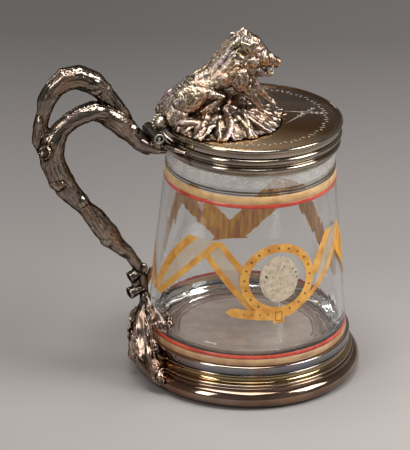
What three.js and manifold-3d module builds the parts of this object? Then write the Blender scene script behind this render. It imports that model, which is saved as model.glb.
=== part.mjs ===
import * as THREE from "three";
import { mergeVertices } from "three/addons/utils/BufferGeometryUtils.js";
import Module from "manifold-3d";

const wasm = await Module();
wasm.setup();

// Covered glass mug with plated mounts. Millimetres, +Z up, the foot stands on z = 0, the handle
// reaches toward -X and the near side of the photograph is -Y.

// Driving sizes
const FOOT_RADIUS = 60;
const GAP = 0.3;
const ROUND = 40;
const SMALL_ROUND = 16;

// Foot
const MOULDING_RADIUS = 4.9;
const FOOT_HEIGHT = 17.2;
const STEP_HEIGHT = 1.25;
const PLATE_SHEET = 1.2;
const LEDGE_INNER = 47;
const BEZEL_TOP = 21.8;
const BEZEL_RADIUS = 54.4;

// Glass
const GLASS_BOTTOM = FOOT_HEIGHT + GAP;
const GLASS_TOP = 131;
const GLASS_LOW_RADIUS = 53;
const GLASS_TAPER = 0.0975;
const GLASS_WALL = 3.4;
const GLASS_FLOOR = 22;

// Rim collar and lid
const COLLAR_BOTTOM = 123.1;
const COLLAR_TOP = 133.2;
const COLLAR_INNER = 43.7;
const BEAD_LOW = 126.5;
const BEAD_HIGH = 131.3;
const LID_BOTTOM = 133.6;
const LID_RADIUS = 46.7;
const LID_PLATE_BOTTOM = 136.2;
const LID_PLATE_TOP = 138.2;
const FLANGE_RADIUS = 37.6;

// Hinge
const PIN_REACH = 53.5;
const PIN_HEIGHT = 135.8;
const PIN_RADIUS = 1.1;
const KNUCKLE_RADIUS = 3;
const HINGE_HALF_WIDTH = 8.5;
const MIDDLE_HALF_WIDTH = 3.2;
const STRAP_INNER = LID_RADIUS - 0.1;
const STRAP_SHEET = 3;
const STRAP_BOTTOM = 129.3;
const STRAP_TOP = 133.1;
const LUG_BOTTOM = 124.6;
const OVER_LID = 142;

const SILVER = { color: 0x93857a, roughness: 0.3, metalness: 1 };
const DARK_SILVER = { color: 0x4d3a2c, roughness: 0.28, metalness: 1 };
const GLASS = { color: 0xdfe4e2, roughness: 0.05, metalness: 0 };
const PLASTER = { color: 0xb9b1a4, roughness: 0.9, metalness: 0 };
const STEEL = { color: 0x8f8a84, roughness: 0.4, metalness: 1 };

const object = new THREE.Group();
object.name = "covered_mug";

// A place given by its reach toward the handle, its height, and how far it lies toward the near side
function place(reach, height, near = 0) {
  return new THREE.Vector3(-reach, -near, height);
}

// Joins the seams of a surface and turns its faces outward
function tidy(geometry) {
  const bare = geometry.clone();
  bare.deleteAttribute("normal");
  bare.deleteAttribute("uv");
  const joined = mergeVertices(bare, 1e-4);
  const spots = joined.getAttribute("position").array;
  const corners = dropFlat(joined.index.array);
  let volume = 0;
  for (let i = 0; i < corners.length; i += 3) {
    const [a, b, c] = [0, 1, 2].map((k) => new THREE.Vector3().fromArray(spots, corners[i + k] * 3));
    volume += a.dot(b.cross(c));
  }
  if (volume < 0) {
    for (let i = 0; i < corners.length; i += 3) {
      [corners[i], corners[i + 1]] = [corners[i + 1], corners[i]];
    }
  }
  joined.setIndex(corners);
  return joined;
}

// Leaves out triangles that have two corners in one place
function dropFlat(corners) {
  const kept = [];
  for (let i = 0; i < corners.length; i += 3) {
    const [a, b, c] = [corners[i], corners[i + 1], corners[i + 2]];
    if (a !== b && b !== c && c !== a) {
      kept.push(a, b, c);
    }
  }
  return kept;
}

function solid(geometry) {
  const closed = tidy(geometry);
  return new wasm.Manifold(new wasm.Mesh({
    numProp: 3,
    vertProperties: new Float32Array(closed.getAttribute("position").array),
    triVerts: new Uint32Array(closed.index.array),
  }));
}

function surface(body) {
  const mesh = body.getMesh();
  const geometry = new THREE.BufferGeometry();
  geometry.setAttribute("position", new THREE.BufferAttribute(new Float32Array(mesh.vertProperties), 3));
  geometry.setIndex(Array.from(mesh.triVerts));
  return geometry;
}

function add(name, body, look) {
  const geometry = surface(body);
  geometry.computeVertexNormals();
  const mesh = new THREE.Mesh(geometry, new THREE.MeshStandardMaterial(look));
  mesh.name = name;
  object.add(mesh);
}

function joined(bodies) {
  return bodies.reduce((sum, body) => sum.add(body));
}

function without(body, tools) {
  return tools.reduce((rest, tool) => rest.subtract(tool), body);
}

// The largest piece of a body, without the crumbs that a cut leaves loose
function largest(body) {
  return body.decompose().sort((a, b) => b.volume() - a.volume())[0];
}

// Turns an outline of [radius, height] points round the axis of the mug
function turned(outline, sides = ROUND) {
  const points = outline.map(([radius, height]) => new THREE.Vector2(radius, height));
  if (outline[0][0] > 0) {
    points.push(points[0].clone());
  }
  return solid(new THREE.LatheGeometry(points, sides).rotateX(Math.PI / 2));
}

// Points of an arc in an outline, angles in degrees, 0 pointing outward and 90 up
function arc(centreRadius, centreHeight, radius, from, to, steps) {
  const points = [];
  for (let i = 0; i <= steps; i += 1) {
    const angle = THREE.MathUtils.degToRad(from + (to - from) * i / steps);
    points.push([centreRadius + radius * Math.cos(angle), centreHeight + radius * Math.sin(angle)]);
  }
  return points;
}

// Skins a body over stations { at, across, deep }. The across direction stays as near as it can to
// the given one, and both ends are closed flat.
function loft(stations, { sides = 10, across = new THREE.Vector3(0, 1, 0), grow = 0 } = {}) {
  const count = stations.length;
  const spots = [];
  stations.forEach((station, i) => {
    const before = stations[Math.max(i - 1, 0)].at;
    const after = stations[Math.min(i + 1, count - 1)].at;
    const along = after.clone().sub(before).normalize();
    const side = across.clone().addScaledVector(along, -across.dot(along)).normalize();
    const lift = new THREE.Vector3().crossVectors(along, side);
    const end = i === 0 ? -grow : i === count - 1 ? grow : 0;
    for (let k = 0; k < sides; k += 1) {
      const angle = 2 * Math.PI * k / sides;
      const spot = station.at.clone().addScaledVector(along, end);
      spot.addScaledVector(side, (station.across + grow) * Math.cos(angle));
      spot.addScaledVector(lift, (station.deep + grow) * Math.sin(angle));
      spots.push(spot.x, spot.y, spot.z);
    }
  });
  const corners = [];
  for (let i = 0; i < count - 1; i += 1) {
    for (let k = 0; k < sides; k += 1) {
      const a = i * sides + k;
      const b = i * sides + (k + 1) % sides;
      corners.push(a, b, a + sides, b, b + sides, a + sides);
    }
  }
  const last = (count - 1) * sides;
  for (let k = 1; k < sides - 1; k += 1) {
    corners.push(0, k + 1, k, last, last + k, last + k + 1);
  }
  const geometry = new THREE.BufferGeometry();
  geometry.setAttribute("position", new THREE.Float32BufferAttribute(spots, 3));
  geometry.setIndex(corners);
  return solid(geometry);
}

// A branch through rows of [reach, height, near, half width, half depth]; a missing half depth is
// the half width
function branch(rows, options) {
  const stations = rows.map(([reach, height, near, across, deep = across]) => ({
    at: place(reach, height, near),
    across,
    deep,
  }));
  return loft(stations, options);
}

// A round bar across the mug, centred on the handle's plane unless its two ends are given
function crossBar(reach, height, radius, from, to, sides = SMALL_ROUND) {
  const bar = new THREE.CylinderGeometry(radius, radius, to - from, sides);
  bar.translate(-reach, -(from + to) / 2, height);
  return solid(bar);
}

// A ball, stretched to half sizes along reach, near and height
function egg(reach, height, near, halfReach, halfNear, halfHeight, sides = 12) {
  const ball = new THREE.SphereGeometry(1, sides, Math.round(sides * 0.6));
  ball.scale(halfReach, halfNear, halfHeight);
  ball.translate(-reach, -near, height);
  return solid(ball);
}

function block(reachFrom, reachTo, nearFrom, nearTo, heightFrom, heightTo) {
  const box = new THREE.BoxGeometry(reachTo - reachFrom, nearTo - nearFrom, heightTo - heightFrom);
  box.translate(-(reachFrom + reachTo) / 2, -(nearFrom + nearTo) / 2, (heightFrom + heightTo) / 2);
  return solid(box);
}

function upright(reach, near, radius, heightFrom, heightTo, sides = SMALL_ROUND) {
  const bar = new THREE.CylinderGeometry(radius, radius, heightTo - heightFrom, sides);
  bar.rotateX(Math.PI / 2);
  bar.translate(-reach, -near, (heightFrom + heightTo) / 2);
  return solid(bar);
}

// Outer radius of the tapered glass at a height
function glassRadius(height) {
  return GLASS_LOW_RADIUS - (height - GLASS_BOTTOM) * GLASS_TAPER;
}

// Outside of the foot from the resting edge up to the ledge, moved outward by grow
function footOutside(grow = 0) {
  const centre = FOOT_RADIUS - MOULDING_RADIUS;
  const top = 2 * MOULDING_RADIUS;
  const steps = [
    [centre + 1.9 + grow, top + grow],
    [centre + 1.9 + grow, top + STEP_HEIGHT + grow],
    [centre + 0.9 + grow, top + STEP_HEIGHT + grow],
    [centre + 0.9 + grow, top + 2 * STEP_HEIGHT + grow],
  ];
  const hollow = [
    [centre - 0.3 + grow, top + 2 * STEP_HEIGHT + grow],
    [centre - 1.7 + grow, top + 2 * STEP_HEIGHT + 1.2 + grow],
    [centre - 1.9 + grow, FOOT_HEIGHT - 2 + grow],
    [centre - 1.0 + grow, FOOT_HEIGHT - 0.9 + grow],
    [centre - 0.7 + grow, FOOT_HEIGHT + grow],
  ];
  return [...arc(centre, MOULDING_RADIUS, MOULDING_RADIUS + grow, -90, 67, 7), ...steps, ...hollow];
}

function footRing() {
  const centre = FOOT_RADIUS - MOULDING_RADIUS;
  const inside = [
    [LEDGE_INNER, FOOT_HEIGHT],
    [LEDGE_INNER, FOOT_HEIGHT - PLATE_SHEET],
    [centre - 3.6, FOOT_HEIGHT - PLATE_SHEET],
    [centre - 3.6, 2 * MOULDING_RADIUS],
    [centre - 1.6, MOULDING_RADIUS],
    [centre - 1.6, 0],
  ];
  return turned([...footOutside(), ...inside]);
}

function footBezel() {
  const bottom = FOOT_HEIGHT + GAP;
  return turned([
    [glassRadius(bottom) + GAP, bottom],
    [BEZEL_RADIUS - 0.1, bottom],
    [BEZEL_RADIUS, BEZEL_TOP - 1.4],
    [BEZEL_RADIUS - 0.3, BEZEL_TOP - 0.3],
    [BEZEL_RADIUS - 0.9, BEZEL_TOP],
    [glassRadius(BEZEL_TOP) + GAP, BEZEL_TOP],
  ]);
}

function footPlaster() {
  const centre = FOOT_RADIUS - MOULDING_RADIUS;
  const bottom = PLATE_SHEET + GAP;
  return turned([
    [0, bottom],
    [centre - 1.6 - GAP, bottom],
    [centre - 1.6 - GAP, MOULDING_RADIUS],
    [centre - 3.6 - GAP, 2 * MOULDING_RADIUS],
    [centre - 3.6 - GAP, FOOT_HEIGHT - PLATE_SHEET - GAP],
    [LEDGE_INNER - GAP, FOOT_HEIGHT - PLATE_SHEET - GAP],
    [LEDGE_INNER - GAP, FOOT_HEIGHT],
    [0, FOOT_HEIGHT],
  ]);
}

function footBasePlate() {
  const radius = FOOT_RADIUS - MOULDING_RADIUS - 1.6 - GAP;
  return turned([[0, 0], [radius, 0], [radius, PLATE_SHEET], [0, PLATE_SHEET]]);
}

function glassBody() {
  const innerTop = glassRadius(GLASS_TOP) - GLASS_WALL;
  const innerLow = glassRadius(GLASS_FLOOR) - GLASS_WALL;
  return turned([
    [0, GLASS_BOTTOM],
    [glassRadius(GLASS_BOTTOM) - 0.8, GLASS_BOTTOM],
    [glassRadius(GLASS_BOTTOM) - 0.1, GLASS_BOTTOM + 0.8],
    [glassRadius(GLASS_TOP - 1), GLASS_TOP - 1],
    [glassRadius(GLASS_TOP) - 1, GLASS_TOP],
    [innerTop + 1, GLASS_TOP],
    [innerTop, GLASS_TOP - 1],
    [innerLow, GLASS_FLOOR + 5],
    [innerLow - 1.6, GLASS_FLOOR + 1.6],
    [innerLow - 5.5, GLASS_FLOOR],
    [0, GLASS_FLOOR - 0.6],
  ]);
}

// The collar reaches over the rim of the glass; its two beads stand on one shallow groove
function rimCollar() {
  const lip = 39.2;
  const foot = glassRadius(COLLAR_BOTTOM) + GAP;
  return turned([
    [foot, COLLAR_BOTTOM],
    [foot + 0.9, COLLAR_BOTTOM],
    [foot + 1.2, COLLAR_BOTTOM + 1.3],
    [foot + 1.9, COLLAR_BOTTOM + 1.7],
    ...arc(foot + 1.4, BEAD_LOW, 1.5, -50, 55, 3),
    [foot + 1.6, BEAD_LOW + 2],
    [foot + 1.9, BEAD_LOW + 2.8],
    ...arc(foot + 1.6, BEAD_HIGH, 1.8, -50, 55, 3),
    [foot + 2.1, COLLAR_TOP],
    [lip, COLLAR_TOP],
    [lip, GLASS_TOP + GAP],
    [COLLAR_INNER, GLASS_TOP + GAP],
    [COLLAR_INNER, COLLAR_BOTTOM + 1.2],
    [foot, COLLAR_BOTTOM + 0.8],
  ]);
}

function rimCement() {
  const bottom = COLLAR_BOTTOM + 1.6;
  const outer = COLLAR_INNER - GAP;
  return turned([
    [glassRadius(bottom) + GAP, bottom],
    [outer, bottom],
    [outer, GLASS_TOP],
    [glassRadius(GLASS_TOP) + GAP, GLASS_TOP],
  ]);
}

// The main branch, from the hinge over the lower arch to the knot and down to the roots
const TRUNK = [
  [53.3, 128.4, 0, 5.2, 4.5],
  [57.2, 130.4, 0, 5.4, 4.9],
  [62.0, 133.9, 0, 5.5],
  [67.5, 139.5, 0, 5.6, 5.8],
  [73.5, 145.2, 0, 5.8],
  [79.5, 149.8, 0, 5.6],
  [86.0, 152.3, 0.5, 5.4],
  [92.5, 151.5, 1, 4.9],
  [98.0, 148.8, 1, 4.6],
  [103.0, 144.7, 1, 5.0],
  [106.8, 139.5, 1, 6.0],
  [108.3, 133.0, 0.5, 6.8],
  [107.0, 126.3, 0, 6.5],
  [104.0, 119.4, 0, 6.3],
  [100.3, 112.8, 0, 5.9],
  [95.3, 106.6, 0, 5.2],
  [90.2, 100.6, 0, 4.2],
  [85.1, 94.3, 0, 5.1],
  [80.0, 87.0, 0, 5.6],
  [74.9, 80.0, 0, 5.2],
  [69.9, 74.6, 0, 4.0],
  [65.2, 70.0, 0, 3.0],
  [61.7, 64.3, 0, 3.0],
  [59.2, 57.0, 0, 2.7],
  [57.5, 49.5, 0, 2.6],
  [57.0, 42.0, 0, 2.9],
  [57.2, 36.0, 0, 2.6],
];

// The second branch: it leaves the arm, makes the open loop and ends behind the knot
const UPPER = [
  [67.2, 143.2, -1.5, 3.4],
  [71.0, 147.6, -2, 4.6],
  [75.2, 154.2, -2.5, 5.0],
  [79.4, 160.5, -3, 5.2],
  [85.0, 166.1, -3, 5.7],
  [92.8, 169.8, -3, 6.2],
  [99.6, 169.4, -3.5, 6.2],
  [105.0, 165.2, -4, 5.4],
  [108.4, 159.0, -4.5, 4.6],
  [110.2, 151.8, -5, 4.1],
  [111.8, 144.8, -5, 4.1],
  [112.2, 138.2, -4.5, 4.1],
  [110.4, 132.5, -4, 3.8],
  [107.8, 129.0, -3, 3.0],
];

function trunk(grow = 0) {
  return branch(TRUNK, { grow });
}

function handleTrunk() {
  return trunk().subtract(knuckleRoom(HINGE_HALF_WIDTH + GAP));
}

function handleUpperBranch() {
  return branch(UPPER).subtract(trunk(GAP));
}

function cutBranch(grow = 0) {
  return branch([
    [106.5, 131.0, 0, 4.2],
    [111.0, 133.6, 3.2, 4.1],
    [114.0, 135.2, 5.6, 4.0],
  ], { grow });
}

function handleCutBranch() {
  return cutBranch().subtract(trunk(GAP)).subtract(branch(UPPER, { grow: GAP }));
}

function bud(rows) {
  return branch(rows, { sides: 8 }).subtract(trunk(GAP));
}

function budUpper() {
  return bud([[60.5, 60.2, 0.5, 1.9], [64.5, 58.8, 1, 2.6], [67.2, 57.5, 1.5, 2.2]]);
}

function budLower() {
  return bud([[57.8, 51.0, 0.5, 1.8], [63.0, 49.6, 1, 2.6], [66.8, 48.6, 1.5, 2.2]]);
}

function handleTwig() {
  return bud([[57.6, 50.5, 0, 1.8], [55.2, 56.0, 0, 1.5], [53.7, 61.5, 0, 0.9]]);
}

// Everything the roots lie against, with a small gap: foot, bezel and glass
function standingCore() {
  const bezel = BEZEL_RADIUS + GAP;
  return turned([
    [0, -5],
    [FOOT_RADIUS - MOULDING_RADIUS, -5],
    ...footOutside(GAP),
    [bezel, FOOT_HEIGHT + GAP],
    [bezel, BEZEL_TOP + GAP],
    [glassRadius(BEZEL_TOP) + GAP, BEZEL_TOP + GAP],
    [glassRadius(120) + GAP, 120],
    [0, 120],
  ]);
}

function rootNear(grow = 0) {
  return branch([
    [57.0, 40.0, 1.0, 2.6, 2.4],
    [57.4, 33.0, 3.5, 5.0, 3.2],
    [57.8, 25.5, 7.5, 6.8, 3.6],
    [58.0, 18.0, 11.5, 7.2, 3.8],
    [57.6, 12.0, 15.5, 5.8, 3.6],
    [56.4, 8.0, 18.5, 3.8, 3.0],
  ], { grow });
}

function rootFar(grow = 0) {
  return branch([
    [57.0, 40.0, -1.0, 2.2, 2.2],
    [57.4, 31.0, -2.5, 3.4, 3.0],
    [58.0, 22.5, -4.5, 3.8, 3.2],
    [59.2, 14.5, -6.5, 3.6, 3.4],
    [59.4, 9.0, -8.5, 2.8, 3.0],
  ], { grow });
}

// A flattened leaf through rows of [reach, height, near, half width, half thickness], with its flat
// side toward the glass
function leaf(rows, lying) {
  return branch(rows, { sides: 8, across: lying });
}

function rootLeafNear() {
  const body = leaf([
    [56.6, 44.0, 2.0, 1.2, 1.0],
    [54.3, 39.5, 7.5, 4.0, 1.1],
    [51.9, 35.5, 12.5, 4.8, 1.1],
    [49.8, 32.8, 17.0, 2.4, 0.9],
  ], new THREE.Vector3(0.25, 0.45, 0.85));
  return body.subtract(trunk(GAP)).subtract(standingCore()).subtract(rootNear(GAP));
}

function rootLeafFar() {
  const body = leaf([
    [58.0, 43.0, -1.8, 1.0, 0.9],
    [60.2, 36.0, -3.8, 2.8, 1.1],
    [61.6, 29.5, -5.6, 3.2, 1.1],
    [61.8, 24.5, -7.0, 1.6, 0.9],
  ], new THREE.Vector3(0.3, 0.9, 0.2));
  return body.subtract(trunk(GAP)).subtract(rootFar(GAP)).subtract(standingCore());
}

function handleRootNear() {
  return rootNear().subtract(trunk(GAP)).subtract(standingCore());
}

function handleRootFar() {
  return rootFar().subtract(trunk(GAP)).subtract(rootNear(GAP)).subtract(standingCore());
}

// Strap that hugs the collar, and the lug with the two outer knuckles
function hingeStrap() {
  const half = THREE.MathUtils.degToRad(19);
  const shape = new THREE.Shape();
  shape.absarc(0, 0, STRAP_INNER + STRAP_SHEET, Math.PI - half, Math.PI + half, false);
  shape.absarc(0, 0, STRAP_INNER, Math.PI + half, Math.PI - half, true);
  const depth = STRAP_TOP - STRAP_BOTTOM;
  const strap = new THREE.ExtrudeGeometry(shape, { depth, bevelEnabled: false, curveSegments: 8 });
  strap.translate(0, 0, STRAP_BOTTOM);
  return solid(strap);
}

// A round tool across the hinge that clears the knuckles of the other body
function knuckleRoom(half) {
  return crossBar(PIN_REACH, PIN_HEIGHT, KNUCKLE_RADIUS + GAP + 0.15, -half, half, 24);
}

function pinBore() {
  return crossBar(PIN_REACH, PIN_HEIGHT, PIN_RADIUS + GAP, -12, 12);
}

function hingeBlock() {
  const half = HINGE_HALF_WIDTH;
  const middle = MIDDLE_HALF_WIDTH + GAP;
  const lug = block(STRAP_INNER + 1, PIN_REACH - 0.5, -5.6, 5.6, LUG_BOTTOM, STRAP_TOP - 0.5);
  const web = block(STRAP_INNER + 2, PIN_REACH + 1.5, -half, half, STRAP_BOTTOM + 0.2, PIN_HEIGHT - 1);
  const barrel = crossBar(PIN_REACH, PIN_HEIGHT, KNUCKLE_RADIUS, -half, half);
  const slotAbove = block(STRAP_INNER - 6, PIN_REACH + 7, -middle, middle, PIN_HEIGHT - 1.5, OVER_LID);
  const lidRoom = turned([
    [0, LID_BOTTOM - GAP],
    [LID_RADIUS + 1, LID_BOTTOM - GAP],
    [LID_RADIUS + 1, OVER_LID],
    [0, OVER_LID],
  ]);
  const tools = [knuckleRoom(middle), slotAbove, pinBore(), lidRoom, trunk(GAP)];
  return without(joined([hingeStrap(), lug, web, barrel]), tools);
}

function hingePin() {
  const half = HINGE_HALF_WIDTH;
  const shaft = crossBar(PIN_REACH, PIN_HEIGHT, PIN_RADIUS, -half - 0.6, half + 0.6);
  const near = crossBar(PIN_REACH, PIN_HEIGHT, PIN_RADIUS + 0.5, half + GAP, half + 0.8);
  const far = crossBar(PIN_REACH, PIN_HEIGHT, PIN_RADIUS + 0.5, -half - 0.8, -half - GAP);
  return joined([shaft, near, far]);
}

function lidPlate() {
  const radius = LID_RADIUS - 1.4;
  const disc = turned([
    [0, LID_PLATE_BOTTOM],
    [radius, LID_PLATE_BOTTOM],
    [radius, LID_PLATE_TOP],
    [0, LID_PLATE_TOP],
  ]);
  return without(disc, screwHoles());
}

function lidEdge() {
  const ledge = LID_PLATE_BOTTOM - GAP;
  return turned([
    [43.8, LID_BOTTOM],
    [45.4, LID_BOTTOM],
    [45.4, ledge - 0.6],
    ...arc(LID_RADIUS - 1.1, LID_PLATE_BOTTOM + 1, 1.1, -65, 90, 4),
    [LID_RADIUS - 1.1, LID_PLATE_TOP],
    [LID_RADIUS - 1.1, ledge],
    [43.8, ledge],
  ]);
}

function lidFlange() {
  const top = LID_PLATE_BOTTOM - GAP;
  return turned([
    [FLANGE_RADIUS - 1.3, 130],
    [FLANGE_RADIUS, 130],
    [FLANGE_RADIUS, top - 1.3],
    [41, top - 1.3],
    [41, top],
    [FLANGE_RADIUS - 1.3, top],
  ]);
}

// Two screws hold the figure from below: [reach, near]
const SCREWS = [[4, 0], [30, 0]];
const SCREW_RADIUS = 1.5;
const SCREW_TOP = 142;

function figureScrew([reach, near]) {
  const head = upright(reach, near, 2 * SCREW_RADIUS, LID_PLATE_BOTTOM - 1.8, LID_PLATE_BOTTOM - GAP);
  const shank = upright(reach, near, SCREW_RADIUS, LID_PLATE_BOTTOM - 1.2, SCREW_TOP);
  return head.add(shank);
}

function screwHoles() {
  return SCREWS.map(([reach, near]) => (
    upright(reach, near, SCREW_RADIUS + GAP, COLLAR_BOTTOM, SCREW_TOP + GAP)
  ));
}

// Leaf over the lid's edge with the middle knuckle
function hingeLeaf(grow = 0) {
  const low = LID_PLATE_TOP + 0.7;
  const half = MIDDLE_HALF_WIDTH + grow;
  const knuckle = crossBar(PIN_REACH, PIN_HEIGHT, KNUCKLE_RADIUS + grow, -half, half);
  const bridge = block(47.4 - grow, PIN_REACH, -half, half, low - 0.1 - grow, low + 1.4 + grow);
  const neck = block(PIN_REACH - 2.6 - grow, PIN_REACH, -half, half, PIN_HEIGHT, low + 1.4 + grow);
  const plate = block(36 - grow, 48, -5.5 - grow, 5.5 + grow, low - 0.1 - grow, low + 1.4 + grow);
  return joined([knuckle, bridge, neck, plate]);
}

function lidHingeLeaf() {
  return hingeLeaf().subtract(pinBore());
}

// The acorn by which the thumb lifts the lid lies across the hinge, its nut toward the near side
const ACORN = { reach: 49.9, height: 142.0, from: -3.6, to: 0.6 };

function thumbCup(grow = 0) {
  const { reach, height, from, to } = ACORN;
  const cup = loft([
    { at: place(reach, height, from), across: 2.4, deep: 2.4 },
    { at: place(reach, height, from + 1.4), across: 3.7, deep: 3.7 },
    { at: place(reach, height, to), across: 4.2, deep: 4.2 },
  ], { sides: 12, across: new THREE.Vector3(1, 0, 0), grow });
  const stalk = branch([
    [44.6, 140.6, -1.5, 1.8, 1.4],
    [47.0, 141.0, -1.8, 1.8, 1.4],
    [49.0, 141.8, -2.0, 1.6, 1.4],
  ], { sides: 8, grow });
  return joined([cup, stalk]);
}

function acorn(grow = 0) {
  const { reach, height, to } = ACORN;
  const half = 3.4 + grow;
  return egg(reach, height, to + 0.3, half, half + 0.8, half);
}

function lidThumbCup() {
  return largest(without(thumbCup(), [acorn(GAP), hingeLeaf(GAP)]));
}

function lidThumbAcorn() {
  return largest(without(acorn(), [hingeLeaf(GAP)]));
}

// The rocky ground under the boar: an oval of rings that fall from the middle to the lid
const MOUND = { reach: 16.5, near: 2, halfReach: 31, halfNear: 27, bottom: LID_PLATE_TOP + GAP };

function moundHeight(turn, share) {
  const wall = 3.6 * Math.exp(-(((share - 0.5) / 0.22) ** 2)) * (0.55 + 0.45 * Math.sin(turn));
  const rise = 4.4 * (1 - share) + 1.2 * (1 - share ** 4);
  const lumps = 0.7 * Math.sin(5 * turn + 7 * share) * Math.sin(Math.PI * share);
  return MOUND.bottom + 0.5 + rise + Math.max(wall, 0) + lumps;
}

function moundSpot(turn, share) {
  const reach = MOUND.reach + MOUND.halfReach * share * Math.cos(turn);
  const near = MOUND.near + MOUND.halfNear * share * Math.sin(turn);
  const limit = Math.min(1, (LID_RADIUS - 2) / Math.hypot(reach, near));
  return [reach * limit, near * limit];
}

function mound(grow = 0) {
  const turns = 20;
  const shares = [0.3, 0.5, 0.66, 0.84, 1];
  const top = place(MOUND.reach, moundHeight(0, 0) + grow, MOUND.near);
  const base = place(MOUND.reach, MOUND.bottom - grow, MOUND.near);
  const spots = [...top.toArray(), ...base.toArray()];
  const corners = [];
  const row = (r, k) => 2 + r * turns + k % turns;
  shares.forEach((share) => {
    for (let k = 0; k < turns; k += 1) {
      const turn = 2 * Math.PI * k / turns;
      const [reach, near] = moundSpot(turn, share + grow / MOUND.halfNear);
      spots.push(-reach, -near, moundHeight(turn, share) + grow);
    }
  });
  for (let k = 0; k < turns; k += 1) {
    const [reach, near] = moundSpot(2 * Math.PI * k / turns, 1 + grow / MOUND.halfNear);
    spots.push(-reach, -near, MOUND.bottom - grow);
  }
  for (let k = 0; k < turns; k += 1) {
    corners.push(0, row(0, k), row(0, k + 1));
    for (let r = 0; r < shares.length; r += 1) {
      const [a, b, c, d] = [row(r, k), row(r + 1, k), row(r + 1, k + 1), row(r, k + 1)];
      corners.push(a, b, c, a, c, d);
    }
    corners.push(1, row(shares.length, k + 1), row(shares.length, k));
  }
  const geometry = new THREE.BufferGeometry();
  geometry.setAttribute("position", new THREE.Float32BufferAttribute(spots, 3));
  geometry.setIndex(corners);
  return solid(geometry);
}

// Long leaves that hang over the side of the mound from the top of its wall to the lid
function hangingLeaves([from, to, count]) {
  const blades = [];
  for (let i = 0; i < count; i += 1) {
    const turn = THREE.MathUtils.degToRad(from + (to - from) * i / (count - 1));
    const lean = turn + 0.05 * Math.sin(9 * i);
    const stations = [0.4, 0.58, 0.82, 1.03].map((share, k) => {
      const [reach, near] = moundSpot(lean, share);
      const height = moundHeight(lean, Math.min(share, 1)) + [-0.4, 1.0, 0.8, 0.1][k];
      return { at: place(reach, height, near), across: [1.6, 2.6, 2.9, 0.8][k], deep: 0.8 };
    });
    const across = new THREE.Vector3(Math.sin(turn), -Math.cos(turn), 0);
    blades.push(loft(stations, { sides: 4, across }));
  }
  return joined(blades);
}

const NEAR_LEAVES = [38, 138, 8];
const FAR_LEAVES = [-130, -60, 3];

// Two rocks between the legs that rise to just under the belly
function bellyRocks() {
  return egg(19, 145, -2, 8, 4.2, 8.8, 6).add(egg(9.5, 143.6, -2, 6, 4, 6.6, 6));
}

// One side of the boar's legs; side is 1 on the near side and -1 on the far side
function foreLeg(side, grow) {
  const nearRows = [
    [7.5, 158.0, 5.0, 4.4, 5.2],
    [2.8, 152.0, 5.8, 2.8, 3.2],
    [-1.0, 146.6, 5.8, 2.1, 2.3],
    [-4.2, 142.0, 5.6, 1.9, 1.9],
    [-5.6, 139.6, 5.6, 2.3, 2.3],
  ];
  const farRows = [
    [6.5, 158.0, -5.0, 4.2, 5.0],
    [-3.6, 152.8, -5.8, 2.6, 2.8],
    [-8.2, 147.2, -6.0, 2.0, 2.1],
    [-12.4, 142.6, -6.0, 1.8, 1.8],
    [-14.8, 139.6, -6.0, 2.2, 2.2],
  ];
  return branch(side > 0 ? nearRows : farRows, { sides: 8, grow });
}

// The boar leans on its far haunch, which lies lower than the near one, with its foot in the ground
function hindLeg(side, grow) {
  const drop = side > 0 ? 0 : 5.3;
  const thigh = egg(37.6, 154.2 - drop, side * 7.4, 7.4 + grow, 4.6 + grow, 7.6 + grow, 10);
  const rows = [
    [34.0, 157.6 - drop, side * 7.2, 4.2, 4.6],
    [27.4, 157.4 - drop, side * 8.8, 3.4, 3.2],
    [20.8, 154.6 - drop, side * 9.2, 2.4, 2.4],
    [25.6, 151.4 - drop, side * 9.4, 2.1, 2.1],
    [31.0, 148.4 - drop, side * 9.6, 2.2, 2.2],
    [27.4, 144.2 - drop, side * 10.2, 1.9, 1.9],
    [24.0, 141.2 - drop, side * 10.6, 2.0, 2.0],
  ];
  const shank = branch(side > 0 ? rows : rows.slice(0, 5), { sides: 8, grow });
  const rump = egg(43.6, 146.4 - drop / 3, side * 6.2, 6.6 + grow, 5.4 + grow, 6.8 + grow, 8);
  return thigh.add(shank).add(rump);
}

function ear(side, grow) {
  return branch([
    [2.2, 176.4, side * 4.8, 1.8, 2.6],
    [5.6, 179.2, side * 6.4, 1.4, 2.2],
    [9.2, 182.0, side * 6.8, 0.5, 0.6],
  ], { sides: 6, grow });
}

function tusk(side, grow) {
  return branch([
    [-7.6, 163.6, side * 2.6, 0.9],
    [-9.4, 166.0, side * 4.2, 0.7],
    [-10.2, 168.4, side * 4.6, 0.35],
  ], { sides: 6, grow });
}

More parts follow.
